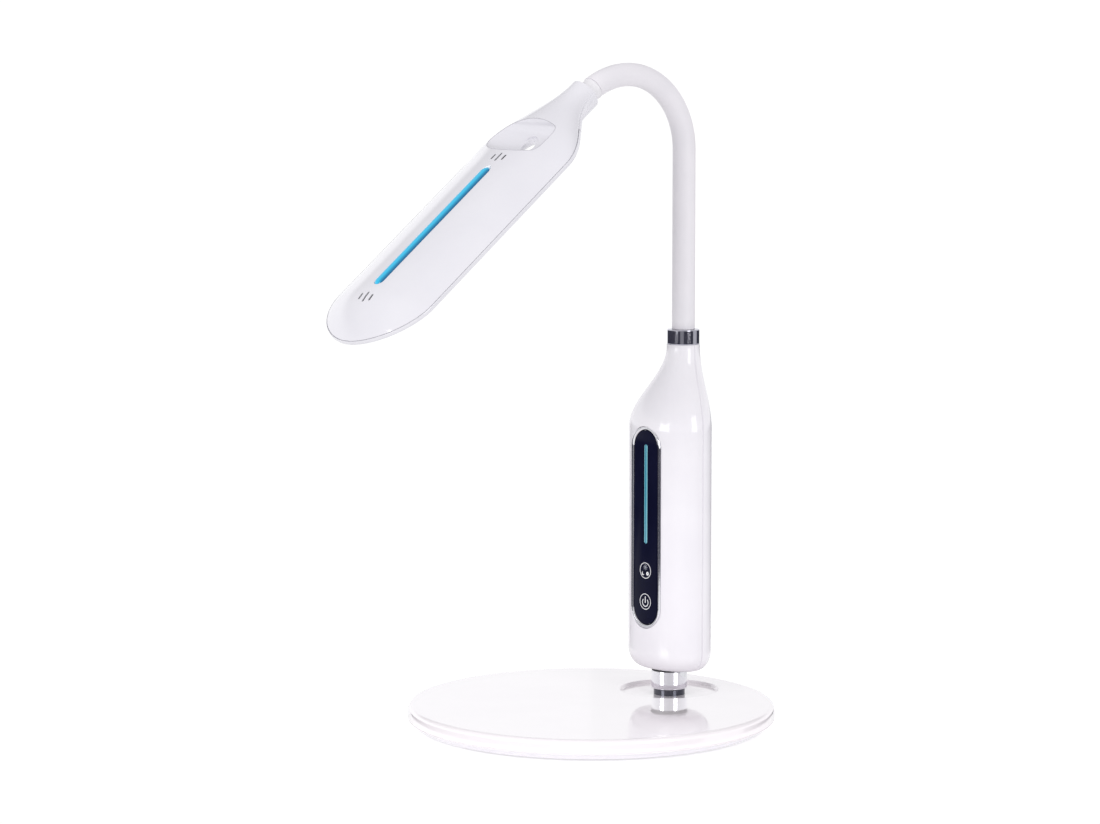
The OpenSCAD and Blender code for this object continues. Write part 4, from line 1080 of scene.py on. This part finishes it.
# finishes of the solids that stay as they are
kept = {"base_ballast": ballastSteel, "base_screws": zincSteel, "stem_washer": zincSteel,
        "stem_nut": zincSteel, "stem_clip": zincSteel, "swivel_bush": bushPlastic,
        "control_board": boardGreen, "board_parts": blackMould, "board_screws": zincSteel,
        "inlet_socket": blackMould, "inlet_pin": brightChrome, "neck_root": sleeveSatin,
        "neck_clip": zincSteel, "led_board": ledPlate, "leds": ledYellow}
for name, mat in kept.items():
    nodes[name].data.materials.clear()
    nodes[name].data.materials.append(mat)

# small white table and even soft light; room and cards as (share of a turn from the camera, tone)
studio = {"table": 0.3, "tableTone": 0.93, "tableLow": -0.0003, "glow": 0.28, "backdrop": 1.05,
          "even": ((0.62, 0.62, 0.63), (0.79, 0.785, 0.795)), "evenSpan": (-0.3, 0.9),
          "room": ((0, 1.05), (0.12, 1.05), (0.5, 0.55), (0.88, 1.0)), "roomEnd": (-0.07, 0.0),
          "high": (0.5, 0.5, 0.51), "highEnd": (0.3, 0.41), "floor": (0.9, 0.9, 0.91),
          "floorEnd": (-0.189, -0.183), "cool": 0.018,
          "cards": ((0, 1.0), (0.07, 1.0), (0.08, 0.05), (0.43, 0.05), (0.44, 0.25), (0.50, 0.25),
                    (0.51, 0.05), (0.70, 0.05), (0.71, 0.55), (0.80, 0.55), (0.81, 0.05), (0.94, 0.05),
                    (0.955, 1.0))}


def addTable(s):
    mesh = bpy.data.meshes.new("table")
    rim = [(s["table"] * cos(a), s["table"] * sin(a), 0) for a in fullTurn(128)]
    mesh.from_pydata(rim, [], [tuple(range(len(rim)))])
    table = bpy.data.objects.new("table", mesh)
    table.location.z = s["tableLow"]
    table.visible_glossy = False
    scene.collection.objects.link(table)
    tone = (s["tableTone"],) * 3
    mesh.materials.append(finish("tablePaper", tone, tone, 0.75, 0.02, 60, 0.02, Specular_IOR_Level=0.1,
                                 Emission_Color=colour(1, 1, 1), Emission_Strength=s["glow"]))


# white to the camera and even for the shading; the gloss sees a light room, cards below it and a pale floor
def addWorld(s):
    world = bpy.data.worlds.new("studio")
    scene.world = world
    world.use_nodes = True
    tree = world.node_tree
    start = Wire(tree)
    place = start.node("ShaderNodeTexCoord", out="Generated")
    x, y, z = (start.node("ShaderNodeSeparateXYZ", {}, {0: place}, k) for k in range(3))
    even = z.ramp(*s["evenSpan"]).mix(*(colour(*tone) for tone in s["even"]))
    turn = start.maths("ARCTAN2", y, x) * (0.5 / pi) + (1.5 + cameraView["turn"] / 360)
    share = start.maths("FRACT", turn)
    stops = {k: [(at, colour(t, t, t + s["cool"])) for at, t in s[k]] for k in ("cards", "room")}
    cards, room = (start.node("ShaderNodeValToRGB", {"stops": k}, {0: share}) for k in stops.values())
    above = z.ramp(*s["highEnd"]).mix(room, colour(*s["high"]))
    below = z.ramp(*s["floorEnd"]).mix(colour(*s["floor"]), cards)
    gloss = z.ramp(*s["roomEnd"]).mix(below, above)
    isGloss = start.node("ShaderNodeLightPath", out="Is Glossy Ray")
    isSeen = start.node("ShaderNodeLightPath", out="Is Camera Ray")
    shown = isSeen.mix(isGloss.mix(even, gloss), colour(*(s["backdrop"],) * 3))
    shown.to(tree.nodes["Background"], "Color")


# soft boxes beside the camera: turn from it, distance, middle height, width, height, power
lights = {"leftBox": (-50, 1.7, 0.72, 0.66, 1.3, 11), "rightBox": (42, 1.7, 0.72, 0.66, 1.3, 9)}


def addLights(given):
    for name, (turn, away, up, wide, tall, power) in given.items():
        data = bpy.data.lights.new(name, "AREA")
        data.shape, data.size, data.size_y, data.energy = "RECTANGLE", wide, tall, power
        lamp = bpy.data.objects.new(name, data)
        angle = radians(turn - cameraView["turn"])
        lamp.location = (away * cos(angle), away * sin(angle), up)
        lamp.rotation_mode = "QUATERNION"
        lamp.rotation_quaternion = Vector((-cos(angle), -sin(angle), 0)).to_track_quat("-Z", "Y")
        scene.collection.objects.link(lamp)


addTable(studio)
addWorld(studio)
addLights(lights)
scene.view_settings.view_transform = "Standard"
scene.view_settings.look = "None"
print("studio made")
